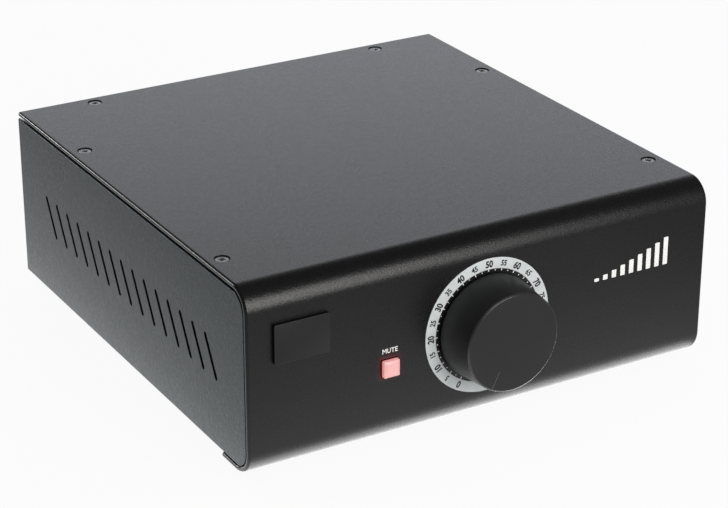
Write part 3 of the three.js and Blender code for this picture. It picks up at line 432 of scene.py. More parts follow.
# Each row: two colours, the scale of their drift, the range of the roughness, then scale and depth of the grain.
finishColumns = ("colourA", "colourB", "driftScale", "rough", "grainScale", "grainDepth")
finishRows = {
    "coverCoat": ((0.0048, 0.0047, 0.005), (0.007, 0.0069, 0.0074), 12, (0.25, 0.36), 1700, 0.08),
    "trayCoat": ((0.0062, 0.0115, 0.0152), (0.0098, 0.016, 0.0202), 18, (0.26, 0.38), 1700, 0.13),
    # The next row is darker than the coats: painted shade on the walls of holes, slots and gaps.
    "cutEdgeShade": ((0.002, 0.002, 0.0022), (0.004, 0.004, 0.0042), 200, (0.6, 0.75), 1700, 0.02),
    "badgeFace": ((0.011, 0.011, 0.0112), (0.0135, 0.0135, 0.014), 60, (0.34, 0.42), 2600, 0.008),
    "ringPrint": ((0.54, 0.58, 0.585), (0.62, 0.655, 0.66), 260, (0.42, 0.55), 2600, 0.01),
    "blackInk": ((0.003, 0.003, 0.0032), (0.006, 0.006, 0.0062), 300, (0.5, 0.6), 2600, 0.004),
    "whiteInk": ((0.74, 0.74, 0.73), (0.82, 0.82, 0.81), 300, (0.4, 0.5), 2600, 0.004),
    "greyInk": ((0.08, 0.082, 0.085), (0.11, 0.113, 0.117), 300, (0.4, 0.5), 2600, 0.004),
    "knobBlack": ((0.0095, 0.0095, 0.0101), (0.0125, 0.0125, 0.013), 45, (0.44, 0.52), 2800, 0.006),
    # The next row is lighter than the knob: partly a smoother turned rim, partly a painted highlight.
    "knobRimHighlight": ((0.02, 0.02, 0.0206), (0.025, 0.025, 0.0256), 45, (0.2, 0.27), 2800, 0.003),
    "screwBlack": ((0.2, 0.2, 0.207), (0.29, 0.29, 0.298), 400, (0.26, 0.36), 3000, 0.008),
    "footRubber": ((0.01, 0.01, 0.01), (0.017, 0.017, 0.017), 120, (0.7, 0.85), 1400, 0.03),
    "plainSteel": ((0.42, 0.43, 0.44), (0.52, 0.53, 0.54), 150, (0.25, 0.4), 1200, 0.006),
    "connectorTin": ((0.46, 0.46, 0.45), (0.56, 0.56, 0.55), 90, (0.2, 0.34), 900, 0.006),
    "turnedBrass": ((0.5, 0.36, 0.13), (0.6, 0.44, 0.18), 120, (0.2, 0.35), 1500, 0.005),
    "blackPlastic": ((0.012, 0.012, 0.0125), (0.017, 0.017, 0.0175), 50, (0.34, 0.46), 2200, 0.012),
    "gangPlastic": ((0.02, 0.03, 0.035), (0.03, 0.042, 0.048), 70, (0.4, 0.5), 1800, 0.01),
    "sleevePlastic": ((0.014, 0.016, 0.03), (0.02, 0.024, 0.042), 90, (0.25, 0.34), 1800, 0.004),
    "whitePlastic": ((0.68, 0.66, 0.6), (0.76, 0.74, 0.69), 60, (0.4, 0.5), 1800, 0.006),
    "ribbonGrey": ((0.3, 0.31, 0.32), (0.36, 0.37, 0.38), 80, (0.45, 0.55), 900, 0.02),
    "coreTape": ((0.3, 0.12, 0.012), (0.4, 0.17, 0.02), 60, (0.22, 0.36), 700, 0.03),
    "boardGreen": ((0.01, 0.085, 0.035), (0.014, 0.115, 0.048), 70, (0.28, 0.4), 1600, 0.006),
    "fuseGlass": ((0.82, 0.86, 0.87), (0.9, 0.93, 0.94), 100, (0.05, 0.1), 800, 0.002),
    "redCap": ((0.3, 0.25, 0.23), (0.36, 0.31, 0.29), 150, (0.22, 0.3), 2200, 0.004),
}
metal = {"shader": {"Metallic": 1.0}}
finishExtras = {
    # powder coat of the bent cover, with a painted glow round the button on it
    "coverCoat": {"coarse": 0.15, "thinEdge": {"start": 104.0, "full": 104.4, "rough": 0.1},
                  "halo": {"half": 3.6, "reach": 3.2, "depth": 0.4, "colour": (0.06, 0.001, 0.0016)}},
    # powder coat of the tray, a little rougher and cooler
    "trayCoat": {"coarse": 0.3, "shader": {"Specular Tint": (0.82, 0.95, 1.0, 1)}},
    "screwBlack": {"shader": {"Metallic": 0.8}},
    "plainSteel": {"stretch": (1, 1, 0.08), **metal},
    "connectorTin": metal,
    "turnedBrass": metal,
    "ribbonGrey": {"stretch": (1, 0.02, 0.02)},
    "redCap": {"shader": {"Emission Color": (0.58, 0.186, 0.178, 1), "Emission Strength": 1.0,
                          "Coat Weight": 0.6, "Coat Roughness": 0.15}},
}
for name, level in {"cutEdgeShade": 0.15, "badgeFace": 0.4, "ringPrint": 0.4, "blackInk": 0.25, "knobRimHighlight": 0.8}.items():
    finishExtras[name] = {"shader": {"Specular IOR Level": level}}
finishes = {name: {**dict(zip(finishColumns, row)), **finishExtras.get(name, {})} for name, row in finishRows.items()}
# Painted shade on the cap where it enters the panel's window.
paintedShadeFoot = {"start": panelY - 0.85, "full": panelY - 0.4, "colour": (0.026, 0.0004, 0.001)}
finishes["capWithPaintedShade"] = {**finishes["redCap"], "paintedShadeFoot": paintedShadeFoot}
made = {name: makeFinish(name, look) for name, look in finishes.items()}
print("finishes made:", len(made))


# The bent cover: top, front and lip in one sheet

def makeCover():
    size = {"sheet": 2.3, "topBend": 10.0, "lowBend": 11.0, "lip": 22.8, "low": 4.3, "edge": 1.02, "endEdge": 1.1,
            "bendSteps": 26, "edgeSteps": 7, "guard": 0.25, "bushing": 4.7, "window": 7.5, "windowCorner": 0.4}
    y0, s, low, e = panelY, size["sheet"], size["low"], size["endEdge"]
    corners = [
        (rearY, topZ), (y0, topZ), (y0, low), (y0 + size["lip"], low),
        (y0 + size["lip"], low + s), (y0 + s, low + s), (y0 + s, topZ - s), (rearY, topZ - s),
    ]
    radii = [e, size["topBend"], size["lowBend"], e, e, size["lowBend"] - s, size["topBend"] - s, e]
    # The sheet's section in Y and Z, with the point pairs i, n-1-i across the sheet.
    guard = size["guard"]
    section = softCorners(corners, radii, size["bendSteps"], guard)
    shape = softPrism(section, 0, -halfWidth, halfWidth, size["edge"], size["edgeSteps"], guard, pairedCaps=True)
    piece = putMesh("cover_sheet", shape, "coverCoat")
    # Through the sheet: the countersinks, the potentiometer's hole and the button's window.
    before, behind, bore = y0 - 1, y0 + 4, size["bushing"]
    holes = [sinkShape(x, y) for x, y in screwPlaces()]
    holes.append(turnedShape([(0, before), (bore, before), (bore, behind), (0, behind)], 48, "y", (0, 0, axisZ)))
    window = roundedBox(buttonX, buttonZ, size["window"], size["window"], size["windowCorner"])
    holes.append(prism(window, 1, before, behind))
    # The walls of these holes get the darker cut finish: painted shade.
    carve(piece, holes, finishName="cutEdgeShade", solver="FAST")
    fit(piece, "case", "wrap_cover")


def screwPlaces():
    # Four at the sides and two at the back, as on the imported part.
    side, inner = 98.3, 71.3
    front, rear, back = panelY + 31.4, panelY + 157.1, rearY - 6.4
    return [(sign * x, y) for sign in (-1, 1) for x, y in ((side, front), (side, rear), (inner, back))]


def sinkShape(x, y):
    # A countersink: a short straight wall with a small flare at its rim, a cone at 45 degrees, then the bore.
    bore, rim, flare = 1.5, 3.12, 3.22
    deep, coneEnd, coneStart, flareStart, flareEnd, above = (topZ + z for z in (-4, -2.15, -0.55, -0.08, 0.02, 1))
    profile = [
        (0, deep), (bore, deep), (bore, coneEnd), (rim, coneStart),
        (rim, flareStart), (flare, flareEnd), (flare, above), (0, above),
    ]
    return turnedShape(profile, 56, "z", (x, y, 0))


makeCover()


def makeScrews():
    size = {"head": 2.62, "rim": 0.15, "sunk": 0.42, "shank": 1.4, "length": 8.0, "firstTurn": 18, "nextTurn": 41}
    cross = {"wide": 1.1, "long": 2.9, "floor": (-1.3, 0.45, 0.8), "mouth": (0.5, 1.12, 1.05)}
    top, r, shank = topZ - size["sunk"], size["head"], size["shank"]
    arm, wide = cross["long"] / 2, cross["wide"] / 2
    # Head: flat disc with a soft rim over a 45 degree cone, then the shank.
    corners = [
        (0, top - size["length"]), (shank, top - size["length"]), (shank, top - r + shank),
        (r, top - size["rim"]), (r, top), (0, top),
    ]
    for index, (x, y) in enumerate(screwPlaces(), 1):
        shape = turnedSolid(corners, [0.1, 0.3, 0.1, 0.06, 0.06, 0.1], 48, "z", (x, y, 0))
        piece = putMesh(f"cover_screw_head_{index}", shape, "screwBlack")
        turn = math.radians(size["firstTurn"] + size["nextTurn"] * index)
        # The drive: a cross, smaller at its floor than at its mouth. Each has a height over the head's top and its
        # shares of length and width.
        loops = []
        for height, longShare, wideShare in (cross["floor"], cross["mouth"]):
            reach, half = arm * longShare, wide * wideShare
            corner = np.array([(half, -half), (reach, -half), (reach, half)])
            ring = np.concatenate([
                corner @ np.array([[math.cos(a), math.sin(a)], [-math.sin(a), math.cos(a)]])
                for a in turn + np.arange(4) * math.pi / 2
            ])
            loops.append(placed(ring + (x, y), 2, top + height))
        carve(piece, [loftedShape(loops)])
        fit(piece, "case", f"cover_screw_{index}")


makeScrews()
print("cover and screws made")


# The tray: floor, slotted walls and flanges in one sheet

def slotShapes(wallIn):
    # Each slot: a stadium whose upper end leans to the back, with a small flare at the outside.
    slots = {"count": 15, "pitch": 10.84, "first": 29.7, "length": 19.2, "width": 2.0, "lean": 29.0, "chamfer": 0.08,
             "endSteps": 9, "over": 0.02}
    steps, half, chamfer, over = slots["endSteps"], slots["width"] / 2, slots["chamfer"], slots["over"]
    reach = (slots["length"] - slots["width"]) / 2
    a = np.concatenate([np.linspace(-90, 90, steps), np.linspace(90, 270, steps)]) * math.pi / 180
    shift = np.where(np.arange(2 * steps) < steps, reach, -reach)
    lean = math.radians(slots["lean"])
    flared = chamfer + over
    levels = ((wallIn - 1, 0), (halfWidth - chamfer, 0), (halfWidth + over, flared), (halfWidth + 1, flared))
    shapes = []
    for side in (-1, 1):
        for k in range(slots["count"]):
            loops = []
            for x, grow in levels:
                up = shift + (half + grow) * np.cos(a)
                across = (half + grow) * np.sin(a)
                y = panelY + slots["first"] + k * slots["pitch"] + up * math.sin(lean) + across * math.cos(lean)
                z = axisZ + up * math.cos(lean) - across * math.sin(lean)
                loops.append(placed(np.stack([y, z], 1), 0, side * x))
            shapes.append(loftedShape(loops))
    return shapes


def makeTray():
    size = {"sheet": 1.5, "bend": 0.6, "lowBend": 0.7, "inner": 0.3, "flange": 12.5, "top": 79.3,
            "edge": 0.3, "upperCorner": 7.3, "lowerCorner": 8.3, "cornerStart": 2.2, "flangeEnd": 199.8,
            "bendSteps": 10, "edgeSteps": 4, "guard": 0.2, "longest": 2.0, "floorPart": 40}
    s, top, low, wide = size["sheet"], size["top"], floorZ, halfWidth
    flangeX = wide - size["flange"]
    corners = [
        (-flangeX, top), (-wide, top), (-wide, low), (wide, low), (wide, top), (flangeX, top), (flangeX, top - s),
        (wide - s, top - s), (wide - s, low + s), (-wide + s, low + s), (-wide + s, top - s), (-flangeX, top - s),
    ]
    e, bend, lowBend, inner = size["edge"], size["bend"], size["lowBend"], size["inner"]
    radii = [e, bend, lowBend, lowBend, bend, e, e, inner, inner, inner, inner, e]
    section = splitLong(softCorners(corners, radii, size["bendSteps"], size["guard"]), size["longest"])
    normal = outwardNormals(section)
    distance, inset = edgeSteps(e, size["edgeSteps"], size["guard"])

    def frontLine(z):
        # Where the front edge lies at each height: straight, with two quarter circles that follow the cover's bends.
        upperR, lowerR = size["upperCorner"], size["lowerCorner"]
        upper = np.clip(z - (top - upperR), 0, upperR)
        lower = np.clip(low + lowerR - z, 0, lowerR)
        y = size["cornerStart"] + upperR - np.sqrt(upperR ** 2 - upper ** 2)
        return panelY + y + lowerR - np.sqrt(lowerR ** 2 - lower ** 2)

    # The flanges end before the rear panel; the floor and the walls run on.
    inFlange = (np.abs(section[:, 0]) < wide - s - 0.1) & (section[:, 1] > size["floorPart"])
    rearLine = np.where(inFlange, panelY + size["flangeEnd"], rearY)
    flats = [section - normal * shrink for shrink in inset]
    loops = [placed(flat, 1, frontLine(flat[:, 1]) + depth) for flat, depth in zip(flats, distance)]
    loops += [placed(flat, 1, rearLine - depth) for flat, depth in zip(flats, distance)][::-1]
    piece = putMesh("tray_sheet", loftedShape(loops, pairedCaps=True), "trayCoat")
    # The slot walls get the darker cut finish: painted shade in the slots.
    carve(piece, slotShapes(wide - s), finishName="cutEdgeShade")
    fit(piece, "case", "chassis_tray")


makeTray()
print("tray made")


# The front: bare plate, numbered ring, knob, button and print

def makeBadge():
    plate = {"x": -82.45, "z": 59.15, "width": 23.5, "height": 16.3, "thickness": 1.6, "corner": 0.8, "edge": 0.1}
    outline = roundedBox(plate["x"], plate["z"], plate["width"], plate["height"], plate["corner"], 8, guard=0.2)
    shape = softPrism(outline, 1, panelY - plate["thickness"], panelY, plate["edge"], 4)
    piece = putMesh("badge_face", shape, "badgeFace")
    # Its sides, the faces that do not look forward, are matt and darker: painted shade round the plate.
    secondFinish(piece, "cutEdgeShade", readRows(piece.data.polygons, "normal")[:, 1] > -0.5)
    fit(piece, "case", "badge_plate")


def makeRing():
    ring = {"outer": 28.3, "inner": 23.7, "edge": 0.12}
    low, high = panelY - ringThickness, panelY
    corners = [(ring["inner"], low), (ring["outer"], low), (ring["outer"], high), (ring["inner"], high)]
    shape = turnedSolid(corners, ring["edge"], 160, "y", (0, 0, axisZ))
    fit(putMesh("number_ring", shape, "ringPrint"), "case", "dial_ring")


def letterMesh(text, height, bold, squeeze=1.0):
    # A text as points and faces in its own plane, centred, with its capitals of the given height.
    capitalShare = 0.7
    curve = bpy.data.curves.new("lettering", "FONT")
    curve.body, curve.align_x, curve.align_y = text, "CENTER", "CENTER"
    curve.size, curve.offset, curve.extrude, curve.resolution_u = height / capitalShare, bold, printHalf, 4
    holder = putObject("lettering", curve)
    mesh = meshNow(holder)
    points = readRows(mesh.vertices, "co")
    middle = (points.min(0) + points.max(0)) / 2
    points = (points - middle) * (squeeze, 1, 1)
    faces = [list(polygon.vertices) for polygon in mesh.polygons]
    bpy.data.objects.remove(holder)
    bpy.data.meshes.remove(mesh)
    return points, faces


def laid(shape, right, upward, outward, origin):
    # A flat shape laid into space from an origin: its width, height and thickness go along three directions.
    points, faces = shape
    directions = np.array([right, upward, outward])
    return sum(points[:, k, None] * directions[k] for k in range(3)) + np.array(origin), faces


def onFront(shape, x, z, y, turn=0.0):
    # Lettering on the front: width along the tangent, height outwards, thickness out of the panel.
    s, c = math.sin(turn), math.cos(turn)
    return laid(shape, (c, 0, -s), (s, 0, c), (0, -1, 0), (x, y, z))


def printedBar(low, high, wide, corner):
    # An upright bar of print, round at its corners.
    return prism(roundedBox(0, (low + high) / 2, wide, high - low, corner, 3), 2, -printHalf, printHalf)


def makeNumbers():
    scale = {"radius": 25.95, "start": -150.0, "step": 15.0, "last": 20, "squeeze": 0.86}
    # Height and thickening of the strokes, for tens and for fives.
    tens, fives, lift = (2.7, 0.125), (2.25, 0.085), 0.015
    shapes = []
    for k in range(scale["last"] + 1):
        letters = letterMesh(str(5 * k), *(fives if k % 2 else tens), scale["squeeze"])
        turn = math.radians(scale["start"] + scale["step"] * k)
        x, z = scale["radius"] * math.sin(turn), axisZ + scale["radius"] * math.cos(turn)
        shapes.append(onFront(letters, x, z, panelY - ringThickness - lift, turn))
    fit(putMesh("dial_numbers", joinShapes(shapes), "blackInk"), "case")
    # Ticks: small raised bars along the radius, longer at each number and short between two.
    ticks = {"long": (22.65, 23.62), "short": (22.7, 23.2), "wide": 0.4, "corner": 0.1}
    shapes = []
    for k in range(2 * scale["last"] + 1):
        turn = math.radians(scale["start"] + scale["step"] / 2 * k)
        bar = printedBar(*(ticks["short"] if k % 2 else ticks["long"]), ticks["wide"], ticks["corner"])
        shapes.append(onFront(bar, 0, axisZ, panelY - printLift, turn))
    fit(putMesh("dial_ticks", joinShapes(shapes), "whiteInk"), "case")


def makeKnob():
    knob = {"reach": 18.6, "face": 20.4, "base": 22.0, "chamfer": 0.6, "lift": 0.9, "wall": 2.2, "top": 3.0,
            "hub": 7.0, "hubLong": 7.6, "bore": 3.1, "grub": 1.6, "sharp": 28}
    face, back = panelY - knob["reach"], panelY - knob["lift"]
    slope = (knob["base"] - knob["face"]) / (knob["reach"] - knob["lift"])

    def radiusAt(y):
        return knob["face"] + (y - face) * slope

    inner, chamfered = face + knob["top"], face + knob["chamfer"]
    hubEnd, wall, hub, bore = inner + knob["hubLong"], knob["wall"], knob["hub"], knob["bore"]
    corners = [
        (0, face), (knob["face"] - knob["chamfer"], face), (radiusAt(chamfered), chamfered), (knob["base"], back),
        (knob["base"] - wall, back), (radiusAt(inner) - wall, inner), (hub, inner), (hub, hubEnd),
        (bore, hubEnd), (bore, inner), (0, inner),
    ]
    radii = [0.1, 0.3, 0.3, 0.3, 0.3, 1.0, 0.6, 0.3, 0.2, 0.1, 0.1]
    shape = turnedSolid(corners, radii, 160, "y", (0, 0, axisZ))
    piece = putMesh("knob_body", shape, "knobBlack", knob["sharp"])
    # The pointer: a narrow groove along one radius of the face, open at the rim.
    pointer = {"angle": -151.5, "start": 12.4, "end": 22.5, "paintEnd": 20.0, "wide": 0.42, "deep": 0.35, "paint": 0.12}
    turn = math.radians(pointer["angle"])
    half, a, deep = pointer["wide"] / 2, pointer["start"], -pointer["deep"]

    def strip(end, low, high):
        outline = np.array([(-half, a), (half, a), (half, end), (-half, end)])
        return onFront(prism(outline, 2, low, high), 0, axisZ, face, turn)

    # The grub screw's bore, from below the knob into its hub.
    low, high, r = axisZ - 24, axisZ - 4.0, knob["grub"]
    grubPlace = (0, face + knob["top"] + knob["hubLong"] / 2, 0)
    grub = turnedShape([(0, low), (r, low), (r, high), (0, high)], 32, "z", grubPlace)
    carve(piece, [strip(pointer["end"], deep, 1.0), grub], knob["sharp"])
    # The turned rim between face and side, whose faces look forward at a slant, is smoother and catches the light;
    # its lighter colour is a painted highlight.
    slant, ahead = (readRows(piece.data.polygons, kind)[:, 1] for kind in ("normal", "center"))
    isRim = (ahead < (face + 2 * knob["chamfer"]) * milli) & (slant > -0.97) & (slant < -0.3)
    secondFinish(piece, "knobRimHighlight", isRim)
    fit(piece, "volume_control", "volume_knob")
    # Paint in the groove: a strip a little below the face.
    paint = strip(pointer["paintEnd"], deep - 0.02, -pointer["paint"])
    fit(putMesh("knob_pointer", paint, "greyInk"), "volume_control")


def makeMuteCap():
    # Rings of a rounded square, each a place and a width. The flange's places are behind the panel's face, those of
    # the bevel and the slightly hollow face behind the cap's face.
    cap = {"reach": 2.9, "corner": 0.45, "room": 5.3, "roomCorner": 0.2, "front": 1.0, "back": 4.2, "sharp": 30,
           "flange": ((4.2, 8.5), (2.75, 8.5), (2.7, 8.4), (2.7, 7.0), (2.6, 6.9)),
           "bevel": ((0.95, 6.9), (0.7, 6.84), (0.58, 6.6), (0.08, 5.06), (0, 4.9), (0.02, 4.6))}
    face, corner, wide = panelY - cap["reach"], cap["corner"], cap["room"]
    levels = [(panelY + place, width) for place, width in cap["flange"]]
    levels += [(face + place, width) for place, width in cap["bevel"]]
    loops = [placed(roundedBox(buttonX, buttonZ, width, width, corner), 1, place) for place, width in levels]
    piece = putMesh("mute_cap_look", loftedShape(loops), "capWithPaintedShade", cap["sharp"])
    # The room behind the face, for the plunger and the lamp.
    room = roundedBox(buttonX, buttonZ, wide, wide, cap["roomCorner"], 3)
    carve(piece, [prism(room, 1, face + cap["front"], panelY + cap["back"] + 1)], cap["sharp"])
    fit(piece, "mute_button", "mute_cap")


def makePrint():
    label = {"x": -43.9, "z": 44.1, "height": 1.95, "bold": 0.05, "squeeze": 0.96}
    letters = letterMesh("MUTE", label["height"], label["bold"], label["squeeze"])
    shapes = [onFront(letters, label["x"], label["z"], panelY - printLift)]
    # A volume sign: upright bars that rise from left to right.
    bars = {"x": 51.5, "z": 50.5, "count": 9, "pitch": 4.2, "wide": 2.2, "corner": 0.25, "low": 1.4, "high": 12.0,
            "curve": 1.25}
    for k in range(bars["count"]):
        tall = bars["low"] + (bars["high"] - bars["low"]) * (k / (bars["count"] - 1)) ** bars["curve"]
        bar = printedBar(0, tall, bars["wide"], bars["corner"])
        shapes.append(onFront(bar, bars["x"] + k * bars["pitch"], bars["z"], panelY - printLift))
    fit(putMesh("front_print", joinShapes(shapes), "whiteInk"), "case")


makeBadge()
makeRing()
makeNumbers()
makeKnob()
makeMuteCap()
makePrint()
print("front made")


# Feet and the back

def makeFeet():
    foot = {"radius": 7.5, "tip": 6.5, "height": 7.0, "stem": 2.4, "bulb": 3.2, "gripEnd": 8.8, "bulbEnd": 11.8,
            "dish": (3.0, 3.6, 0.6), "x": 86, "places": (38, 189.6)}
    inner, outer, hollow = foot["dish"]
    stem, height, gripEnd, bulbEnd = foot["stem"], foot["height"], foot["gripEnd"], foot["bulbEnd"]
    # Foot: tapered puck with a soft rim and a shallow dish below, a stem and a bulb above the floor.
    corners = [
        (0, hollow), (inner, hollow), (outer, 0), (foot["tip"], 0), (foot["radius"], height), (stem, height),
        (stem, gripEnd), (foot["bulb"], gripEnd), (stem, bulbEnd), (0, bulbEnd),
    ]
    radii = [0.1, 0.15, 0.15, 0.8, 0.5, 0.1, 0.1, 0.2, 0.2, 0.1]
    places = [(side * foot["x"], panelY + y) for y in foot["places"] for side in (-1, 1)]
    for index, (x, y) in enumerate(places, 1):
        shape = turnedSolid(corners, radii, 56, "z", (x, y, 0))
        fit(putMesh(f"foot_{index}", shape, "footRubber"), "case", f"rubber_foot_{index}")


def platedBlades(piece):
    # The three blades of the mains inlet are metal: the faces whose middle lies within a blade's box.
    blade = {"places": ((61.25, 40.5), (68.25, 44.5), (75.25, 40.5)), "half": (1.05, 2.05), "ends": (97.75, 110.5)}
    x, y, z = readRows(piece.data.polygons, "center").T / milli
    plated = np.zeros(len(x), bool)
    for bladeX, bladeZ in blade["places"]:
        plated |= (np.abs(x - bladeX) < blade["half"][0]) & (np.abs(z - bladeZ) < blade["half"][1])
    plated &= (y > blade["ends"][0]) & (y < blade["ends"][1])
    secondFinish(piece, "connectorTin", plated)


def makeConnectors():
    # Each connector: a body with a recess, an insert in it, and contacts in two rows: holes for the input, pins for
    # the output.
    shell = {"wide": 38.9, "tall": 8.4, "slope": 1.4, "corner": 1.5, "wall": 0.55, "deep": 5.2, "long": 5.8, "z": 24.35}
    insertLook = {"gap": 0.12, "pinFloor": 0.8, "holeFront": 0.7}
    contact = {"pitch": 2.77, "row": 1.42, "radius": 0.52, "rim": 0.72, "over": 0.02, "holeDeep": 2.6,
               "pinShort": 0.9, "pinTip": 0.4, "tipShare": 0.55}
    end, middle, r = rearOuter + shell["long"], shell["z"], contact["radius"]
    low = end - shell["deep"]

    def shellPrism(x, margin, start, stop):
        wide, tall = shell["wide"] / 2 - margin, shell["tall"] / 2 - margin
        narrow, top, bottom = wide - shell["slope"], middle + tall, middle - tall
        corners = [(x - wide, top), (x - narrow, bottom), (x + narrow, bottom), (x + wide, top)]
        return prism(softCorners(corners, shell["corner"] - margin), 1, start, stop)

    for nodeName, x, hasPins in (("input_connector", -67.0, False), ("output_connector", -8.0, True)):
        body = softenedCopy(nodeName, 0.2, "connectorTin")
        carve(body, [shellPrism(x, shell["wall"], low, end + 1)])
        fit(body, "case", nodeName)
        high = low + insertLook["pinFloor"] if hasPins else end - insertLook["holeFront"]
        shape = shellPrism(x, shell["wall"] + insertLook["gap"], low - 0.05, high)
        insert = putMesh(nodeName + "_insert", shape, "blackPlastic")
        spots = [(x + (k - 6) * contact["pitch"], middle + contact["row"]) for k in range(13)]
        spots += [(x + (k - 5.5) * contact["pitch"], middle - contact["row"]) for k in range(12)]
        if hasPins:
            tip, root = end - contact["pinShort"], high - 0.3
            profile = [(0, root), (r, root), (r, tip - contact["pinTip"]), (r * contact["tipShare"], tip), (0, tip)]
        else:
            rim, floor, over = contact["rim"], high - contact["holeDeep"], contact["over"]
            wide, above = rim + over, high + 1
            profile = [(0, floor), (r, floor), (r, high - rim + r), (wide, high + over), (wide, above), (0, above)]
        contacts = [turnedShape(profile, 12, "y", (spotX, 0, spotZ)) for spotX, spotZ in spots]
        if hasPins:
            pins = putMesh(nodeName + "_pins", joinShapes(contacts), "turnedBrass")
            fit(pins, "case")
        else:
            carve(insert, contacts)
        fit(insert, "case")


def makePosts():
    # Hexagon posts beside the connectors, each with a threaded hole: ridges at the thread's pitch.
    post = {"x": (-90.5, -43.5, -31.5, 15.5), "z": 24.35, "long": 5.0, "bore": 1.12, "ridge": 0.16, "pitch": 0.64,
            "turns": 6, "lead": 0.35, "mouth": 0.3}
    end = rearOuter + post["long"]
    outer = post["bore"] + post["ridge"]
    mouth, step = outer + post["mouth"], post["pitch"] / 2
    ridges = [(outer if k % 2 else post["bore"], end - post["lead"] - k * step) for k in range(2 * post["turns"])]
    profile = [(0, end + 1), (mouth, end + 1), (mouth, end + 0.02), *ridges, (0, ridges[-1][1])][::-1]
    for index, x in enumerate(post["x"], 1):
        piece = softenedCopy(f"jack_screw_{index}", 0.2, "plainSteel")
        carve(piece, [turnedShape(profile, 24, "y", (x, 0, post["z"]))])
        fit(piece, "case", f"jack_screw_{index}")


def markRocker():
    # A bar and a circle, each laid in the plane of one face of the tilted rocker.
    rocker = {"pivot": (68.25, 112.7, 62.5), "tilt": -12.0, "front": 2.4, "rise": 1.2, "tall": 6.9, "place": 3.7,
              "height": 3.2, "bold": 0.06}
    tilt, rise, tall, place = math.radians(rocker["tilt"]), rocker["rise"], rocker["tall"], rocker["place"]
    turn = np.array([(1, 0, 0), (0, math.cos(tilt), -math.sin(tilt)), (0, math.sin(tilt), math.cos(tilt))])
    shapes = []
    for text, side in (("I", 1), ("O", -1)):
        letters = letterMesh(text, rocker["height"], rocker["bold"])
        upward = np.array([0, side * rise, tall]) / math.hypot(rise, tall)
        outward = np.array([0, upward[2], -upward[1]])
        origin = np.array([0, rocker["front"] + rise * place / tall, side * place]) + outward * printLift
        points, faces = laid(letters, (-1, 0, 0), upward, outward, origin)
        shapes.append((points @ turn.T + rocker["pivot"], faces))
    fit(putMesh("rocker_marks", joinShapes(shapes), "whiteInk"), "mains_rocker")


makeFeet()

carriedFinishes = {
    "plainSteel": ["knob_grub_screw", "pot_shaft", "pot_washer", "pot_rear_plate", "pot_tie_bolt_1", "pot_tie_bolt_2",
                   "clamp_plate", "clamp_bolt"],
    "turnedBrass": ["pot_bushing", "pot_nut"],
    "gangPlastic": [f"pot_deck_{k}" for k in range(1, 9)] + ["mute_switch"],
    "boardGreen": ["volume_board", "front_board", "main_board"],
    "ribbonGrey": ["volume_ribbon"],
    "whitePlastic": ["mute_plunger"] + [f"board_support_{k}" for k in range(1, 5)],
    "redCap": ["mute_lamp"],
    "sleevePlastic": ["filter_capacitor_1", "filter_capacitor_2"],
    "coreTape": ["power_transformer"],
    "fuseGlass": ["fuse"],
}
for finishName, nodeNames in carriedFinishes.items():
    for nodeName in nodeNames:
        setFinish(nodes[nodeName].data, finishName)

bevelled = {
    "rear_panel": (0.3, "trayCoat", "case", "coated_sheet"),
    "inlet_housing": (0.3, "blackPlastic", "case", "dark_plastic"),
    "fuse_drawer": (0.25, "blackPlastic", "fuse_holder", "dark_plastic"),
    "power_rocker": (0.25, "blackPlastic", "mains_rocker", "dark_plastic"),
}
for nodeName, (width, finishName, body, slotName) in bevelled.items():
    piece = softenedCopy(nodeName, width, finishName)
    if nodeName == "inlet_housing":
        platedBlades(piece)
    fit(piece, body, nodeName)
makeConnectors()
makePosts()
markRocker()
print("back made")


# Studio: floor, world, lamps and camera, with places in metres

def emptyTree(owner):
    owner.use_nodes = True
    owner.node_tree.nodes.clear()
    return owner.node_tree


def makeFloor():
    # The camera sees an even white. Reflections see a glow that falls off with the distance from the footprint, and
    # a brighter border of a few centimetres.
    floor = {"half": 4000.0, "white": 0.93, "near": 0.97, "far": 0.215, "fade": 0.22, "border": 0.5,
             "borderWide": 0.016, "foot": (0.105, 0.225, 0), "middle": (-0.006, 0.125, 0), "plain": (0.8, 0.8, 0.8, 1)}
    half, fade, wide, far = floor["half"], floor["fade"], floor["borderWide"], floor["far"]
    corners = np.array([(-half, -half, 0), (half, -half, 0), (half, half, 0), (-half, half, 0)])
    material = bpy.data.materials.new("floorWhite")
    tree = emptyTree(material)
    place = tree.nodes.new("ShaderNodeTexCoord").outputs["Object"]
    away = distanceFromBox(tree, place, floor["middle"], floor["foot"])
    fall = remap(tree, away, (-fade, fade), (2 * floor["near"] - far, far), "SMOOTHERSTEP")
    border = remap(tree, away, (-wide / 6, wide), (floor["border"], 0.0), "SMOOTHSTEP")
    path = tree.nodes.new("ShaderNodeLightPath").outputs
    level = blend(tree, path["Is Camera Ray"], maths(tree, "ADD", fall, border), 1.0)
    seen = maths(tree, "MULTIPLY", path["Is Camera Ray"], floor["white"])
    for ray in ("Is Glossy Ray", "Is Transmission Ray"):
        seen = maths(tree, "MAXIMUM", seen, path[ray])
    plain = addNode(tree, "BsdfDiffuse", {"Color": floor["plain"]}).outputs[0]
    glow = addNode(tree, "Emission", {"Strength": level}).outputs[0]
    mix = addNode(tree, "MixShader", (seen, plain, glow)).outputs[0]
    addNode(tree, "OutputMaterial", {"Surface": mix})
    piece = putMesh("studio_floor", (corners, [[0, 1, 2, 3]]))
    piece.data.materials.append(material)


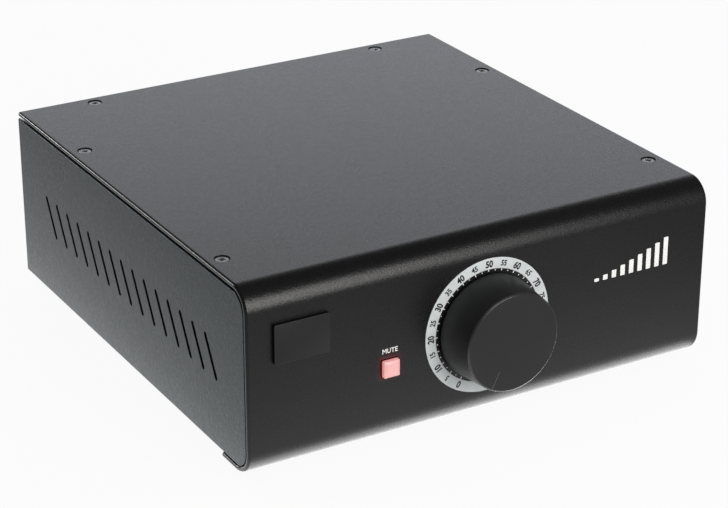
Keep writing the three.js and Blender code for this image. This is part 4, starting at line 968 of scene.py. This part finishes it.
def makeWorld():
    # What reflections see above the floor: white low at the back right, dark above, to the left and in front.
    look = {"white": 1.0, "diffuse": 0.72, "dark": 0.045}
    ranges = {"Y": (-0.3, 0.3), "Z": (0.62, 0.44), "X": (-0.35, 0.1)}
    world = bpy.data.worlds.new("studioWorld")
    scene.world = world
    tree = emptyTree(world)
    place = tree.nodes.new("ShaderNodeTexCoord").outputs["Generated"]
    ramps = [remap(tree, partAlong(tree, place, axis), ends, curve="SMOOTHSTEP") for axis, ends in ranges.items()]
    product = maths(tree, "MULTIPLY", maths(tree, "MULTIPLY", ramps[0], ramps[1]), ramps[2])
    bright = remap(tree, product, (0, 1), (look["dark"], look["white"]))
    path = tree.nodes.new("ShaderNodeLightPath").outputs
    reflected = maths(tree, "MAXIMUM", path["Is Glossy Ray"], path["Is Transmission Ray"])
    level = blend(tree, path["Is Camera Ray"], blend(tree, reflected, look["diffuse"], bright), 1.0)
    sky = addNode(tree, "Background", {"Strength": level}).outputs[0]
    addNode(tree, "OutputWorld", {"Surface": sky})


def makeLamp(name, at, target, size, bright, tint):
    # A soft area lamp whose power comes from the brightness of its face: watts = brightness * pi * area.
    lamp = bpy.data.lights.new(name, "AREA")
    lamp.shape, lamp.size, lamp.size_y = "RECTANGLE", *size
    lamp.energy = bright * math.pi * size[0] * size[1]
    lamp.color = tint
    holder = putObject(name, lamp)
    holder.rotation_euler = (Vector(target) - Vector(at)).to_track_quat("-Z", "Y").to_euler()
    holder.location = at
    holder.visible_camera = False


# Each lamp: place, aim, size, brightness and tint.
lamps = {
    "softboxFront": ((0.15, -0.86, 0.35), (0, -0.1, 0.05), (0.52, 0.62), 4.9, (1.0, 0.98, 0.96)),
    "softboxBack": ((0.95, 1.7, 0.44), (0, 0, 0.08), (2.2, 0.86), 0.71, (0.88, 0.94, 1.12)),
    "edgeStrip": ((-0.93, 1.27, 0.23), (-0.1, 0, 0.08), (0.42, 0.16), 18.0, (1, 1, 1)),
    "lightTable": ((0.0028, 0.0085, 0.001), (0.0028, 0.0085, 1.0), (0.2125, 0.225), 1.42, (1, 1, 1)),
}


def makeCamera():
    # The camera that was fitted to the case's edges. Its place is in millimetres, its focal length in pixels.
    view = {"at": (-443.1, -764.8, 434.4), "right": (0.8666, -0.4991, -0.0012), "down": (-0.2035, -0.3512, -0.9139),
            "look": (0.4557, 0.7922, -0.4059), "focalPixels": 2286.757, "widePixels": 728, "sensor": 36.0,
            "shift": (0.0170, -0.0197), "near": 0.05}
    camera = bpy.data.cameras.new("photoCamera")
    camera.sensor_width = view["sensor"]
    camera.lens = view["focalPixels"] * view["sensor"] / view["widePixels"]
    camera.shift_x, camera.shift_y = view["shift"]
    camera.clip_start = view["near"]
    holder = putObject("photoCamera", camera)
    turn = Matrix((Vector(view["right"]), -Vector(view["down"]), -Vector(view["look"]))).transposed()
    holder.matrix_world = Matrix.Translation(Vector(view["at"]) * milli) @ turn.to_4x4()
    scene.camera = holder


makeFloor()
makeWorld()
for lampName, lampLook in lamps.items():
    makeLamp(lampName, *lampLook)
makeCamera()
scene.view_settings.view_transform = "Standard"
print("studio made")
